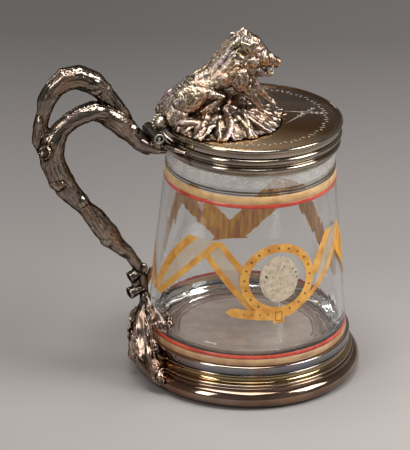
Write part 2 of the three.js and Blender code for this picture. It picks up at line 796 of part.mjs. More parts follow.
// The seated boar: body, deep head, bristle ridge, legs, ears and tusks in one casting
function boar(grow = 0) {
  const body = branch([
    [48.6, 145.0, 0, 4.4, 3.6],
    [45.6, 146.8, 0, 7.8, 5.8],
    [41.2, 149.6, 0, 9.6, 6.4],
    [36.2, 154.8, 0, 9.2, 5.8],
    [31.6, 158.4, 0, 9.0, 5.8],
    [26.0, 160.2, 0, 9.0, 5.0],
    [19.5, 162.6, 0, 9.4, 7.2],
    [13.0, 165.4, 0, 9.6, 10.4],
    [8.0, 170.0, 0, 8.2, 11.2],
    [4.4, 174.2, 0, 6.0, 9.0],
  ], { sides: 12, grow });
  const head = branch([
    [10.5, 175.4, 0, 5.4, 7.0],
    [6.0, 175.4, 0, 7.0, 10.2],
    [1.5, 173.8, 0, 6.4, 9.4],
    [-2.5, 170.4, 0, 5.2, 7.3],
    [-6.6, 167.4, 0, 4.1, 5.6],
    [-10.8, 164.9, 0, 3.1, 4.1],
    [-13.9, 163.9, 0, 2.9, 2.8],
  ], { sides: 10, grow });
  const ridge = branch([
    [-1.5, 181.4, 0, 2.0, 2.4],
    [4.6, 184.2, 0, 2.4, 2.4],
    [12.2, 178.6, 0, 2.4, 2.4],
    [18.4, 170.6, 0, 2.2, 2.4],
    [23.6, 166.2, 0, 2.0, 2.4],
    [31.0, 162.8, 0, 1.6, 2.4],
  ], { sides: 6, grow });
  const pairs = [foreLeg, hindLeg, ear, tusk].flatMap((piece) => [piece(1, grow), piece(-1, grow)]);
  return joined([body, head, ridge, ...pairs]);
}

// Slot behind the boar that lets the handle's arm in when the lid is thrown back
function armRoom() {
  return block(50.7, 70, -6.3, 6.3, 138, 156);
}

function lidRoomBelow() {
  return block(-60, 70, -60, 60, 100, MOUND.bottom + 0.9);
}

function boarFigure() {
  const tools = [armRoom(), lidRoomBelow(), thumbCup(GAP), hingeLeaf(GAP), acorn(GAP)];
  return largest(without(boar(), tools));
}

function lidMound() {
  const below = block(-60, 60, -60, 60, 100, MOUND.bottom);
  const thumb = [hingeLeaf(GAP), thumbCup(GAP), acorn(GAP)];
  const leaves = [hangingLeaves(NEAR_LEAVES), hangingLeaves(FAR_LEAVES)];
  const whole = joined([mound(), bellyRocks(), ...leaves]);
  return largest(without(whole, [below, boar(GAP), ...thumb, ...screwHoles()]));
}

add("glass_body", glassBody(), GLASS);
add("foot_ring", footRing(), DARK_SILVER);
add("foot_bezel", footBezel(), SILVER);
add("foot_plaster", footPlaster(), PLASTER);
add("foot_base_plate", footBasePlate(), SILVER);
add("rim_collar", rimCollar(), SILVER);
add("rim_cement", rimCement(), PLASTER);
add("handle_trunk", handleTrunk(), SILVER);
add("handle_upper_branch", handleUpperBranch(), SILVER);
add("handle_cut_branch", handleCutBranch(), SILVER);
add("handle_bud_upper", budUpper(), SILVER);
add("handle_bud_lower", budLower(), SILVER);
add("handle_twig", handleTwig(), SILVER);
add("root_near", handleRootNear(), SILVER);
add("root_far", handleRootFar(), SILVER);
add("root_leaf_near", rootLeafNear(), SILVER);
add("root_leaf_far", rootLeafFar(), SILVER);
add("hinge_block", hingeBlock(), SILVER);
add("hinge_pin", hingePin(), STEEL);
add("lid_plate", lidPlate(), DARK_SILVER);
add("lid_edge", lidEdge(), SILVER);
add("lid_flange", lidFlange(), SILVER);
add("lid_hinge_leaf", lidHingeLeaf(), SILVER);
add("thumb_cup", lidThumbCup(), SILVER);
add("thumb_acorn", lidThumbAcorn(), SILVER);
add("lid_mound", lidMound(), SILVER);
add("boar_figure", boarFigure(), SILVER);
add("figure_screw_front", figureScrew(SCREWS[0]), STEEL);
add("figure_screw_rear", figureScrew(SCREWS[1]), STEEL);

export default object;
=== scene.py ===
# %% [markdown]
# The covered mug, dressed in Blender
# A clear glass mug with silver-plated mounts. The engineering model gives the place and size of
# every piece, and this lesson builds the looks round it, one piece and one finish at a time.
# Lengths are in metres. The foot stands on z = 0, the handle reaches toward -X, and the side
# that the photograph shows is -Y.

import math
import random

import bmesh
import bpy
from mathutils import Matrix, Vector, kdtree, noise


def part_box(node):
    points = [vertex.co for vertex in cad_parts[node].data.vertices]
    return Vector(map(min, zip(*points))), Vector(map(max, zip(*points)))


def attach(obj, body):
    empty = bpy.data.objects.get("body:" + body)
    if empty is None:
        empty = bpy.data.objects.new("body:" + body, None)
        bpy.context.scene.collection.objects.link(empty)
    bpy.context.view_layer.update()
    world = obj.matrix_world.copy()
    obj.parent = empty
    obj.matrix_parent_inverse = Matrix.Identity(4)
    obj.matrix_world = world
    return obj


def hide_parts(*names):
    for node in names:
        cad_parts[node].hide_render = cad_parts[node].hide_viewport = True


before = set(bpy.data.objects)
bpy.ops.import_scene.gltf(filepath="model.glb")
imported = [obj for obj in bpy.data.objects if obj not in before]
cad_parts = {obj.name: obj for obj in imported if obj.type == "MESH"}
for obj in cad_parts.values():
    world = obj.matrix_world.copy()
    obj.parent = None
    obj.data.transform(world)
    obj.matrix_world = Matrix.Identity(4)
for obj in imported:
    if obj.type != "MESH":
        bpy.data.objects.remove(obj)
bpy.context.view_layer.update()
print("frame pieces:", len(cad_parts))

# %% [markdown]
# Every piece is given by three plain measures: its reach toward the handle, its height, and how
# far it lies toward the near side. One helper turns them into a point, so that the numbers below
# can stay in millimetres, as they would be on a drawing.

# %% Measures and points
MM = 0.001
FOOT_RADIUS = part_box("foot_ring")[1].x / MM
GLASS_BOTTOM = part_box("glass_body")[0].z / MM
GLASS_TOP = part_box("glass_body")[1].z / MM
GLASS_LOW_RADIUS = 53
GLASS_TAPER = 0.0975
GLASS_WALL = 3.4
LID_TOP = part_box("lid_plate")[1].z / MM
LID_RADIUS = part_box("lid_edge")[1].x / MM


def place(reach, height, near=0.0):
    return Vector((-reach, -near, height)) * MM


def glass_radius(height):
    """Outer radius of the tapered glass, in millimetres."""
    return GLASS_LOW_RADIUS - (height - GLASS_BOTTOM) * GLASS_TAPER


print("foot radius", round(FOOT_RADIUS, 1), "glass", round(GLASS_BOTTOM, 1), round(GLASS_TOP, 1))

# %% [markdown]
# The camera stands where the photographer's did: a long lens, a little above the lid, with the
# handle turned slightly toward it. A long lens keeps the foot and the lid nearly parallel.

# %% Camera
CAMERA_DISTANCE = 1.4268
CAMERA_HEIGHT = 0.7215
CAMERA_ROUND = -23.0
CAMERA_YAW = 0.907
CAMERA_PITCH = 24.325
CAMERA_ROLL = 1.254
CAMERA_LENS = 241.9


def turn(angle, axis):
    return Matrix.Rotation(math.radians(angle), 4, axis)


def make_camera():
    camera = bpy.data.objects.new("camera", bpy.data.cameras.new("camera"))
    bpy.context.scene.collection.objects.link(camera)
    spot = turn(CAMERA_ROUND, "Z") @ Vector((0, -CAMERA_DISTANCE, CAMERA_HEIGHT))
    aim = turn(CAMERA_ROUND + CAMERA_YAW, "Z") @ turn(90 - CAMERA_PITCH, "X") @ turn(CAMERA_ROLL, "Z")
    camera.matrix_world = Matrix.Translation(spot) @ aim
    camera.data.lens = CAMERA_LENS
    camera.data.clip_start = 0.05
    camera.data.clip_end = 20
    bpy.context.scene.camera = camera
    return camera


camera = make_camera()
print("camera at", [round(v, 3) for v in camera.location])

# %% [markdown]
# A material is easier to read when it is built by a few short words. These helpers turn screen
# colours into the linear values that the renderer works with, add a node, and feed its inputs.

# %% Node helpers


def tone(red, green, blue):
    """A screen colour, 0 to 255, as linear values with full alpha."""
    shares = [channel / 255 for channel in (red, green, blue)]
    return tuple([s / 12.92 if s <= 0.04045 else ((s + 0.055) / 1.055) ** 2.4 for s in shares] + [1])


def grey(value):
    return (value, value, value, 1)


def new_material(name):
    material = bpy.data.materials.new(name)
    material.use_nodes = True
    tree = material.node_tree
    shader = next(n for n in tree.nodes if n.type == "BSDF_PRINCIPLED")
    return material, tree, shader


def feed(tree, socket, value):
    """Links what another node puts out, or sets a plain value."""
    if isinstance(value, bpy.types.NodeSocket):
        tree.links.new(value, socket)
    elif value is not None:
        socket.default_value = value


def fill(tree, node, inputs):
    for label, value in inputs.items():
        feed(tree, node.inputs[label], value)


def add_node(tree, kind, inputs=None, **settings):
    node = tree.nodes.new(kind)
    for key, value in settings.items():
        setattr(node, key, value)
    fill(tree, node, inputs or {})
    return node


def maths(tree, operation, first, second=None):
    node = add_node(tree, "ShaderNodeMath", operation=operation)
    feed(tree, node.inputs[0], first)
    feed(tree, node.inputs[1], second)
    return node.outputs["Value"]


print("a middle grey of the screen is", round(tone(128, 128, 128)[0], 3), "in linear values")

# %% [markdown]
# Patterns are noise on the piece's own coordinates, so that they stay on it when it moves. Ramps
# and mixes turn them into colours.

# %% Colour and pattern helpers


def mix_colours(tree, factor, low, high, blend="MIX"):
    node = add_node(tree, "ShaderNodeMix", data_type="RGBA", blend_type=blend)
    for socket, value in zip([s for s in node.inputs if s.enabled], (factor, low, high)):
        feed(tree, socket, value)
    return next(s for s in node.outputs if s.enabled)


def times(tree, colour, tint):
    return mix_colours(tree, 1, colour, tint, "MULTIPLY")


def ramp(tree, source, stops):
    """A colour ramp: stops are (position, colour)."""
    node = add_node(tree, "ShaderNodeValToRGB", {"Fac": source})
    elements = node.color_ramp.elements
    while len(elements) < len(stops):
        elements.new(0.5)
    for element, (position, colour) in zip(elements, stops):
        element.position = position
        element.color = colour
    return node.outputs["Color"]


def fade(tree, source, start, end, first=0, last=1):
    """A grey ramp from the value first at start to the value last at end."""
    return ramp(tree, source, [(start, grey(first)), (end, grey(last))])


def tint_ramp(tree, source, stops, low=0, high=1):
    """Screen colours in a row: stops are (place, red, green, blue), with places from low to high."""
    return ramp(tree, source, [((place - low) / (high - low), tone(*rgb)) for place, *rgb in stops])


def own_place(tree):
    return add_node(tree, "ShaderNodeTexCoord").outputs["Object"]


def x_y_z(tree, vector):
    return add_node(tree, "ShaderNodeSeparateXYZ", {"Vector": vector}).outputs


def object_noise(tree, scale, detail=4, stretch=(1, 1, 1)):
    """Noise on the piece's own coordinates, with scale in lumps per metre."""
    mapping = add_node(tree, "ShaderNodeMapping", {"Vector": own_place(tree), "Scale": stretch})
    node = add_node(tree, "ShaderNodeTexNoise", {
        "Vector": mapping.outputs["Vector"], "Scale": scale, "Detail": detail, "Roughness": 0.55})
    return node.outputs["Fac"]


def bump_normal(tree, depth, height):
    """A normal that leans as if the pattern stood depth millimetres high."""
    node = add_node(tree, "ShaderNodeBump", {"Strength": 1, "Distance": depth * MM, "Height": height})
    return node.outputs["Normal"]


print("a wave 1 mm deep is", MM, "to a Bump node")

# %% [markdown]
# Old silver plate is not one colour. It darkens to brown where fingers and cloths do not reach,
# stays bright on what stands proud, and shows thin gold and blue-green films where the tarnish is
# young. The mask of all this is one node group, placed in each metal with its own values.

# %% Tarnish group
FILM_COLOURS = [
    (0.30, 226, 172, 146), (0.40, 246, 224, 190), (0.47, 252, 248, 244), (0.54, 222, 226, 198),
    (0.60, 214, 222, 236), (0.68, 236, 212, 226), (0.76, 240, 206, 176),
]


def make_group(name, inputs, outputs):
    group = bpy.data.node_groups.new(name, "ShaderNodeTree")
    for label, value in inputs.items():
        socket = group.interface.new_socket(label, in_out="INPUT", socket_type="NodeSocketFloat")
        socket.default_value = value
    for label, kind in outputs.items():
        group.interface.new_socket(label, in_out="OUTPUT", socket_type=kind)
    return group, group.nodes.new("NodeGroupInput"), group.nodes.new("NodeGroupOutput")


def make_tarnish_group():
    """Puts out clouds, fine grain, what stands proud, and the colour of the tarnish film."""
    outputs = {label: "NodeSocketFloat" for label in ("Clouds", "Grain", "Raised")}
    outputs["Film"] = "NodeSocketColor"
    inputs = {"Cloud Scale": 60, "Grain Scale": 900, "Hollow Depth": 8}
    group, way_in, way_out = make_group("tarnish", inputs, outputs)
    given = way_in.outputs
    where = own_place(group)
    clouds = add_node(group, "ShaderNodeTexNoise", {
        "Vector": where, "Scale": given["Cloud Scale"], "Detail": 5})
    grain = add_node(group, "ShaderNodeTexNoise", {
        "Vector": where, "Scale": given["Grain Scale"], "Detail": 3})
    film = add_node(group, "ShaderNodeTexNoise", {
        "Vector": where, "Scale": maths(group, "MULTIPLY", given["Cloud Scale"], 0.8),
        "Detail": 2, "Distortion": 0.8})
    pointiness = add_node(group, "ShaderNodeNewGeometry").outputs["Pointiness"]
    lifted = maths(group, "SUBTRACT", pointiness, 0.5)
    lifted = maths(group, "MULTIPLY", lifted, given["Hollow Depth"])
    raised = add_node(group, "ShaderNodeClamp", {"Value": maths(group, "ADD", lifted, 0.5)})
    fill(group, way_out, {
        "Clouds": clouds.outputs["Fac"], "Grain": grain.outputs["Fac"],
        "Raised": raised.outputs["Result"],
        "Film": tint_ramp(group, film.outputs["Fac"], FILM_COLOURS)})
    return group


tarnish = make_tarnish_group()
print("tarnish group outputs:", [s.name for s in tarnish.interface.items_tree if s.in_out == "OUTPUT"])

# %% [markdown]
# Each metal of the mug uses that group. Then the recipe adds what belongs to one piece: a tint by
# height, a painted gloss on the front edge that stands for a reflection, and painted shade where a
# casting is seen side on, as its deep folds mirror each other there.

# %% Silver plate, one recipe
GRAIN_SCALE = 900


def by_height(tree, zones):
    """A tint that changes with height: zones are (height in millimetres, screen colour)."""
    low, high = zones[0][0], zones[-1][0]
    height = maths(tree, "DIVIDE", x_y_z(tree, own_place(tree))["Z"], MM)
    share = maths(tree, "DIVIDE", maths(tree, "SUBTRACT", height, low), high - low)
    return tint_ramp(tree, share, zones, low, high)


def front_share(tree):
    """Grows from 0 to 1 toward the front edge on the handle's side."""
    spot = x_y_z(tree, own_place(tree))
    sideways = maths(tree, "MULTIPLY", spot["X"], -0.6 / MM)
    forward = maths(tree, "MULTIPLY", spot["Y"], -0.8 / MM)
    along = maths(tree, "DIVIDE", maths(tree, "ADD", sideways, forward), 50)
    return fade(tree, along, 0.2, 0.72)


def silver(name, tones, clouds, rough, film, bump, hollow, zones=None, painted_gloss=None, edge_shade=1):
    """Worn silver plate. Tones are its dark, middle and bright screen colours, clouds the tarnish
    clouds in a metre, rough its lowest and highest roughness, film the share of coloured film,
    bump the depth of its grain, hollow the pull of the hollows, and edge_shade its brightness side on,
    a painted shade that darkens the outline."""
    dark, middle, bright = [tone(*rgb) for rgb in tones]
    deepest = tuple(channel * 0.4 for channel in dark[:3]) + (1,)
    material, tree, shader = new_material(name)
    settings = {"Cloud Scale": clouds, "Grain Scale": GRAIN_SCALE, "Hollow Depth": hollow}
    masks = add_node(tree, "ShaderNodeGroup", settings, node_tree=tarnish).outputs
    base = mix_colours(tree, fade(tree, masks["Clouds"], 0.36, 0.64), dark, middle)
    base = mix_colours(tree, fade(tree, masks["Raised"], 0.42, 0.8), base, bright)
    base = mix_colours(tree, fade(tree, masks["Raised"], 0.14, 0.45, 1, 0), base, deepest)
    if zones:
        base = times(tree, base, by_height(tree, zones))
    # Painted reflection: toward its front edge on the handle's side the colour is lightened to a gloss.
    if painted_gloss:
        base = mix_colours(tree, front_share(tree), base, tone(*painted_gloss))
    base = mix_colours(tree, film, base, masks["Film"], "MULTIPLY")
    # Painted shade: the colour darkens where the surface is seen side on, so the outline reads dark.
    if edge_shade < 1:
        side_on = add_node(tree, "ShaderNodeLayerWeight").outputs["Facing"]
        base = times(tree, base, fade(tree, side_on, 0.4, 0.85, 1, edge_shade))
    fill(tree, shader, {
        "Base Color": base, "Metallic": 1, "Specular Tint": grey(edge_shade),
        "Roughness": fade(tree, masks["Clouds"], 0.3, 0.7, *rough),
        "Normal": bump_normal(tree, bump, masks["Grain"])})
    return material


print("silver recipe ready")

# %% [markdown]
# Castings are dark in the hollows and bright on the ridges, turned mouldings are smoother, and the
# lid is browned nearly to copper. The foot changes with height: the gold-green of its hollow and the
# blue-grey of its band are tarnish films, and the light and dark lines along its steps are painted
# highlights, reflections and shade. The handle is lighter and darker by height.

# %% Metals of the mug
# Tints of the foot by height: tarnish films, with painted highlights, reflections and shade along the
# steps.
FOOT_FILMS_AND_PAINTED_LIGHT = [
    (0, 126, 112, 106), (3, 176, 160, 152), (7, 214, 202, 196), (10.4, 160, 142, 132),
    (12.3, 255, 244, 226), (13.2, 246, 226, 178), (15.4, 255, 248, 206), (16.8, 236, 232, 222),
    (17.4, 120, 120, 130), (19, 176, 190, 216), (21, 216, 224, 244), (22, 255, 248, 240),
]
BARK_ZONES = [
    (0, 140, 126, 120), (8, 160, 146, 138), (12, 255, 240, 232), (29, 255, 240, 232),
    (38, 196, 186, 182), (46, 176, 170, 168), (60, 176, 172, 170), (66, 218, 212, 206),
    (180, 214, 208, 202),
]
CAST_TONES = ((110, 84, 70), (174, 148, 130), (236, 222, 212))
MOUND_TONES = ((108, 84, 74), (168, 142, 128), (240, 226, 216))
BARK_TONES = ((44, 34, 28), (138, 118, 106), (252, 244, 236))
TURNED_TONES = ((96, 80, 68), (170, 152, 136), (232, 222, 212))
FOOT_TONES = ((138, 120, 110), (198, 182, 170), (238, 230, 222))
LID_TONES = ((94, 60, 28), (140, 100, 56), (158, 122, 78))
# The hinge barrels are nearly black: partly tarnish, partly painted shade of the shadow they sit in.
BARREL_TARNISH_AND_SHADE = ((28, 22, 20), (48, 40, 34), (84, 72, 62))
BRIGHT_TONES = ((170, 150, 132), (214, 202, 190), (244, 238, 232))
STEEL_TONES = ((90, 84, 78), (150, 144, 138), (190, 186, 182))
# Colour of the lid's painted gloss, a painted reflection on its front edge.
LID_PAINTED_GLOSS = (255, 230, 194)
CAST_ROUGH = (0.3, 0.48)
TURNED_ROUGH = (0.05, 0.14)

# With edge_shade below 1 these castings get painted shade where they are seen side on.
cast_silver = silver("cast_silver", CAST_TONES, 70, CAST_ROUGH, 0.85, 0.04, 6, edge_shade=0.4)
mound_silver = silver("mound_silver", MOUND_TONES, 70, CAST_ROUGH, 0.75, 0.04, 4, edge_shade=0.6)
cut_silver = silver("cut_silver", BRIGHT_TONES, 160, (0.45, 0.6), 0.2, 0.02, 1)
bark_silver = silver("bark_silver", BARK_TONES, 84, (0.14, 0.3), 0.45, 0.03, 6, BARK_ZONES, edge_shade=0.3)
turned_silver = silver("turned_silver", TURNED_TONES, 30, TURNED_ROUGH, 0.6, 0.008, 2)
# The foot's zones hold painted highlights, reflections and shade as well as its tarnish films.
foot_silver = silver("foot_silver", FOOT_TONES, 30, TURNED_ROUGH, 0.6, 0.008, 2, FOOT_FILMS_AND_PAINTED_LIGHT)
# The lid gets a painted gloss, a painted reflection, on its front edge.
brown_silver = silver("brown_silver", LID_TONES, 24, (0.12, 0.24), 0.5, 0.01, 1, painted_gloss=LID_PAINTED_GLOSS)
# Dark barrels: tarnish and painted shade.
barrel_tarnish_and_shade = silver("barrel_tarnish_and_shade", BARREL_TARNISH_AND_SHADE, 60, (0.4, 0.55), 0.4, 0.02, 1)
bright_silver = silver("bright_silver", BRIGHT_TONES, 160, (0.26, 0.36), 0.35, 0.01, 2)
pin_steel = silver("pin_steel", STEEL_TONES, 200, (0.25, 0.45), 0.1, 0.01, 2)
print("metals:", [m.name for m in bpy.data.materials])

# %% [markdown]
# Clear glass bends light and mirrors a little of it. A glass shader alone throws a black shadow,
# because the renderer does not follow light through it, so shadow and diffuse rays are let
# straight through. A very shallow wave makes its mirror images less perfect.

# %% Clear glass


def make_glass():
    material, tree, shader = new_material("clear_glass")
    wave = object_noise(tree, 260, detail=1, stretch=(1, 1, 0.03))
    fill(tree, shader, {
        "Base Color": (0.985, 0.992, 0.988, 1), "Transmission Weight": 1, "IOR": 1.5,
        "Roughness": 0, "Normal": bump_normal(tree, 0.05, wave)})
    clear = add_node(tree, "ShaderNodeBsdfTransparent", {"Color": grey(0.96)})
    path = add_node(tree, "ShaderNodeLightPath").outputs
    passes = maths(tree, "MAXIMUM", path["Is Shadow Ray"], path["Is Diffuse Ray"])
    mix = add_node(tree, "ShaderNodeMixShader", {"Fac": passes})
    feed(tree, mix.inputs[1], shader.outputs["BSDF"])
    feed(tree, mix.inputs[2], clear.outputs["BSDF"])
    output = next(n for n in tree.nodes if n.type == "OUTPUT_MATERIAL")
    feed(tree, output.inputs["Surface"], mix.outputs["Shader"])
    return material


clear_glass = make_glass()
print("glass made")

# %% [markdown]
# The painted decoration is enamel: thin colour fused on the outside of the glass. It is thicker
# and thinner in places, so its colour goes cloudy, and it has worn through in spots. The haze is
# the same recipe: a milky film of cement behind the rim.

# %% Enamel finishes


def enamel(name, thin, full, scale, rough, wear=0.0, solid=1.0, left=0.0, stretch=(1, 1, 1)):
    """Thin and full are the screen colours of thin and thick paint. Wear is the share of spots that
    have worn, left how much paint is left in them, and solid how well the rest of it covers."""
    material, tree, shader = new_material(name)
    clouds = object_noise(tree, scale, detail=6, stretch=stretch)
    specks = object_noise(tree, 700, detail=5)
    fill(tree, shader, {
        "Base Color": mix_colours(tree, fade(tree, clouds, 0.35, 0.62), tone(*thin), tone(*full)),
        "Roughness": fade(tree, object_noise(tree, scale * 3), 0.3, 0.7, rough, rough + 0.2),
        "Alpha": fade(tree, specks, max(wear - 0.04, 0), wear + 0.001, left, solid),
        "Coat Weight": 0.3})
    return material


ochre = enamel("ochre_enamel", (204, 138, 52), (236, 178, 84), 160, 0.25, 0.3)
# The back of the paint on the far wall, lightened as painted light for the dim light inside the glass;
# its up and down streaks are partly brush strokes and partly painted streaks of light.
amber_with_painted_light = enamel("amber_enamel_painted_light", (186, 92, 4), (255, 190, 40), 420, 0.5, 0.3, 0.97, stretch=(1, 1, 0.12))
pale = enamel("pale_enamel", (206, 184, 152), (216, 200, 178), 120, 0.3, 0.3, 0.5)
red = enamel("red_enamel", (184, 58, 42), (222, 92, 66), 90, 0.2, 0.25)
gold = enamel("worn_gold", (214, 166, 112), (242, 202, 142), 140, 0.3, 0.33, 0.9)
dull_gold = enamel("dull_gold", (180, 138, 98), (208, 170, 126), 140, 0.3, 0.33, 0.9)
dark_line = enamel("dark_line", (58, 46, 32), (98, 80, 58), 140, 0.25, 0.3)
brown_line = enamel("brown_line", (150, 92, 36), (180, 120, 56), 140, 0.3)
chalk = enamel("chalk_disc", (182, 164, 140), (214, 198, 174), 420, 0.5, 0.36)
haze = enamel("cement_haze", (226, 218, 210), (250, 248, 244), 200, 0.3, 0.66, 0.85, left=0.28)
print("enamels made")

# %% [markdown]
# Plaster and cement are inside the mounts. The bed under the glass shows through its clear bottom:
# pale in the middle, and round that uneven dark and bright rings: painted reflections of the tarnished
# ledge of the foot and of the light, as the thick curved corner of the glass mirrors them.

# %% Plaster
# Painted reflections: dark and bright rings by radius on the bed, seen through the glass's curved
# corner.
BED_PAINTED_RINGS = [
    (0, 255, 255, 255), (35.6, 255, 255, 255), (36.4, 110, 98, 90), (37.4, 236, 226, 218),
    (39, 176, 164, 154), (42.4, 150, 138, 128), (43.4, 240, 232, 226), (44.4, 96, 86, 80),
    (46.6, 170, 158, 150), (48, 240, 234, 228), (49.2, 84, 76, 72), (60, 120, 110, 104),
]


def by_radius(tree, zones, wobble):
    """A tint that changes away from the middle: zones are (radius in millimetres, screen colour)."""
    widest = zones[-1][0]
    flat = add_node(tree, "ShaderNodeVectorMath", operation="MULTIPLY")
    feed(tree, flat.inputs[0], own_place(tree))
    feed(tree, flat.inputs[1], (1 / MM, 1 / MM, 0))
    away = add_node(tree, "ShaderNodeVectorMath", operation="LENGTH")
    feed(tree, away.inputs[0], flat.outputs["Vector"])
    drift = maths(tree, "MULTIPLY", object_noise(tree, 70, detail=3), wobble)
    share = maths(tree, "DIVIDE", maths(tree, "ADD", away.outputs["Value"], drift), widest)
    return tint_ramp(tree, share, zones, 0, widest)


def make_plaster():
    material, tree, shader = new_material("plaster")
    clouds = fade(tree, object_noise(tree, 120, detail=6), 0.3, 0.7)
    colour = mix_colours(tree, clouds, tone(168, 148, 134), tone(196, 178, 164))
    # The rings by radius are painted reflections.
    fill(tree, shader, {
        "Base Color": times(tree, colour, by_radius(tree, BED_PAINTED_RINGS, 2.4)), "Roughness": 0.85})
    return material


plaster = make_plaster()
print("plaster made")

# %% [markdown]
# A turned piece, such as a foot or a collar, is one outline spun round the axis. A bmesh chain of
# points with curved corners gives the outline, and spin does what the lathe did.

# %% Helpers for pieces
SPIN_STEPS = 144


def arc(radius, height, size, first, last, steps):
    """Points of a curved corner: angles in degrees, 0 outward and 90 up."""
    angles = [math.radians(first + (last - first) * i / steps) for i in range(steps + 1)]
    return [(radius + size * math.cos(a), height + size * math.sin(a)) for a in angles]


def full_turn(count):
    """Evenly spaced angles all the way round."""
    return [2 * math.pi * k / count for k in range(count)]


def spin_round(maker, chain, steps, closed=False):
    """Joins the points of the chain and spins it round the z axis."""
    pairs = list(zip(chain, chain[1:]))
    if closed:
        pairs.append((chain[-1], chain[0]))
    edges = [maker.edges.new(pair) for pair in pairs]
    bmesh.ops.spin(
        maker, geom=chain + edges, cent=(0, 0, 0), axis=(0, 0, 1), angle=2 * math.pi, steps=steps,
        use_merge=True, use_normal_flip=False, use_duplicate=False)


def finished(name, mesh_maker, material, body, sharp=40):
    """Closes the seams, turns the faces outward, shades the piece and seats it on its body."""
    bmesh.ops.remove_doubles(mesh_maker, verts=mesh_maker.verts, dist=1e-6)
    bmesh.ops.recalc_face_normals(mesh_maker, faces=mesh_maker.faces)
    mesh = bpy.data.meshes.new(name)
    mesh_maker.to_mesh(mesh)
    mesh_maker.free()
    mesh.polygons.foreach_set("use_smooth", [True] * len(mesh.polygons))
    mesh.set_sharp_from_angle(angle=math.radians(sharp))
    mesh.materials.append(material)
    piece = bpy.data.objects.new(name, mesh)
    bpy.context.scene.collection.objects.link(piece)
    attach(piece, body)
    print(f"{name}: {len(mesh.polygons)} faces")
    return piece


def spun(name, outline, material, body, closed=True, sharp=40):
    maker = bmesh.new()
    chain = [maker.verts.new((radius * MM, 0, height * MM)) for radius, height in outline]
    spin_round(maker, chain, SPIN_STEPS, closed)
    return finished(name, maker, material, body, sharp)


print("pieces are spun in", SPIN_STEPS, "steps")

# %% [markdown]
# The foot is a spun shell: a full round moulding on the table, two fine steps, a hollow curve, and
# a band that grips the glass. The steps matter, because each one catches its own line of light.

# %% Foot
MOULDING = 4.9
STEP = 1.25
FOOT_TOP = 17.2
BEZEL_TOP = 21.8
BEZEL_RADIUS = 54.4
LEDGE_INSIDE = 47


def foot_outline():
    centre = FOOT_RADIUS - MOULDING
    top = 2 * MOULDING
    round_moulding = arc(centre, MOULDING, MOULDING, -90, 66, 22)
    steps = []
    for rise, radius in ((0, 1.9), (STEP, 0.9)):
        steps += arc(centre + radius - 0.5, top + rise + STEP - 0.5, 0.5, 0, 90, 4)
        steps.append((centre + radius - 0.95, top + rise + STEP))
    hollow = arc(centre + 0.1, top + 2 * STEP + 2.4, 2.2, 232, 170, 8)
    lip = arc(centre - 1.3, FOOT_TOP - 0.6, 0.6, -30, 90, 5)
    inside = [(LEDGE_INSIDE, FOOT_TOP), (LEDGE_INSIDE, FOOT_TOP - 1.2), (centre - 3.6, FOOT_TOP - 1.2)]
    inside += [(centre - 3.6, top), (centre - 1.6, MOULDING), (centre - 1.6, 0)]
    return round_moulding + steps + hollow + lip + inside


foot = spun("foot_moulding", foot_outline(), foot_silver, "mug")
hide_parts("foot_ring")


def bezel_outline():
    bottom = FOOT_TOP + 0.3
    inner_low = glass_radius(bottom) + 0.3
    inner_high = glass_radius(BEZEL_TOP) + 0.3
    outline = [(inner_low, bottom)]
    outline += arc(BEZEL_RADIUS - 0.4, bottom + 0.4, 0.4, -90, 0, 4)
    outline += arc(BEZEL_RADIUS - 0.9, BEZEL_TOP - 0.8, 0.8, 0, 90, 8)
    return outline + [(inner_high, BEZEL_TOP)]


bezel = spun("foot_band", bezel_outline(), foot_silver, "mug")
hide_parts("foot_bezel")

# %% [markdown]
# The glass was blown into a tapered mould, with a thick bottom and walls of even thickness. Its
# outline goes up the outside, over the rim, and down the inside to the middle of the bottom. Rings
# close to the corners keep the shading of the long straight walls even.

# %% Glass
GLASS_FLOOR = 20.8
GLASS_CORNER = 10.0
TURN_TOP = GLASS_FLOOR + GLASS_CORNER
WALL_RINGS = (TURN_TOP + 0.8, TURN_TOP + 1.8, TURN_TOP + 12, 70, 110, GLASS_TOP - 4, GLASS_TOP - 3)
FOOT_RINGS = (GLASS_BOTTOM + 1.6, GLASS_BOTTOM + 2.4)
RIPPLE = 0.24


def glass_floor_points(turn_radius):
    """The inner bottom from its edge to near the middle: a shallow dip and the mark of the mould."""
    mould_mark = turn_radius - 1.8
    radii = [mould_mark + 1.6 - 0.7 * k for k in range(9)] + list(range(33, 2, -3))
    points = []
    for radius in radii:
        ridge = 0.3 * math.exp(-((radius - mould_mark) / 1.1) ** 2)
        points.append((radius, GLASS_FLOOR - 0.25 + 0.25 * math.cos(radius * 0.2) + ridge))
    return points


def glass_outline():
    low, top = glass_radius(GLASS_BOTTOM), glass_radius(GLASS_TOP)
    turn_radius = glass_radius(GLASS_FLOOR) - GLASS_WALL - GLASS_CORNER
    half = GLASS_WALL / 2
    outer = [(0, GLASS_BOTTOM)] + arc(low - 0.9, GLASS_BOTTOM + 0.9, 0.8, -90, 0, 5)
    outer += [(glass_radius(height), height) for height in FOOT_RINGS + WALL_RINGS]
    rim = arc(top - half, GLASS_TOP - half, half - 0.02, 0, 180, 12)
    inner = [(glass_radius(height) - GLASS_WALL, height) for height in reversed(WALL_RINGS)]
    inner += arc(turn_radius, TURN_TOP, GLASS_CORNER, 0, -90, 16)[1:]
    return outer + rim + inner + glass_floor_points(turn_radius) + [(0, GLASS_FLOOR)]


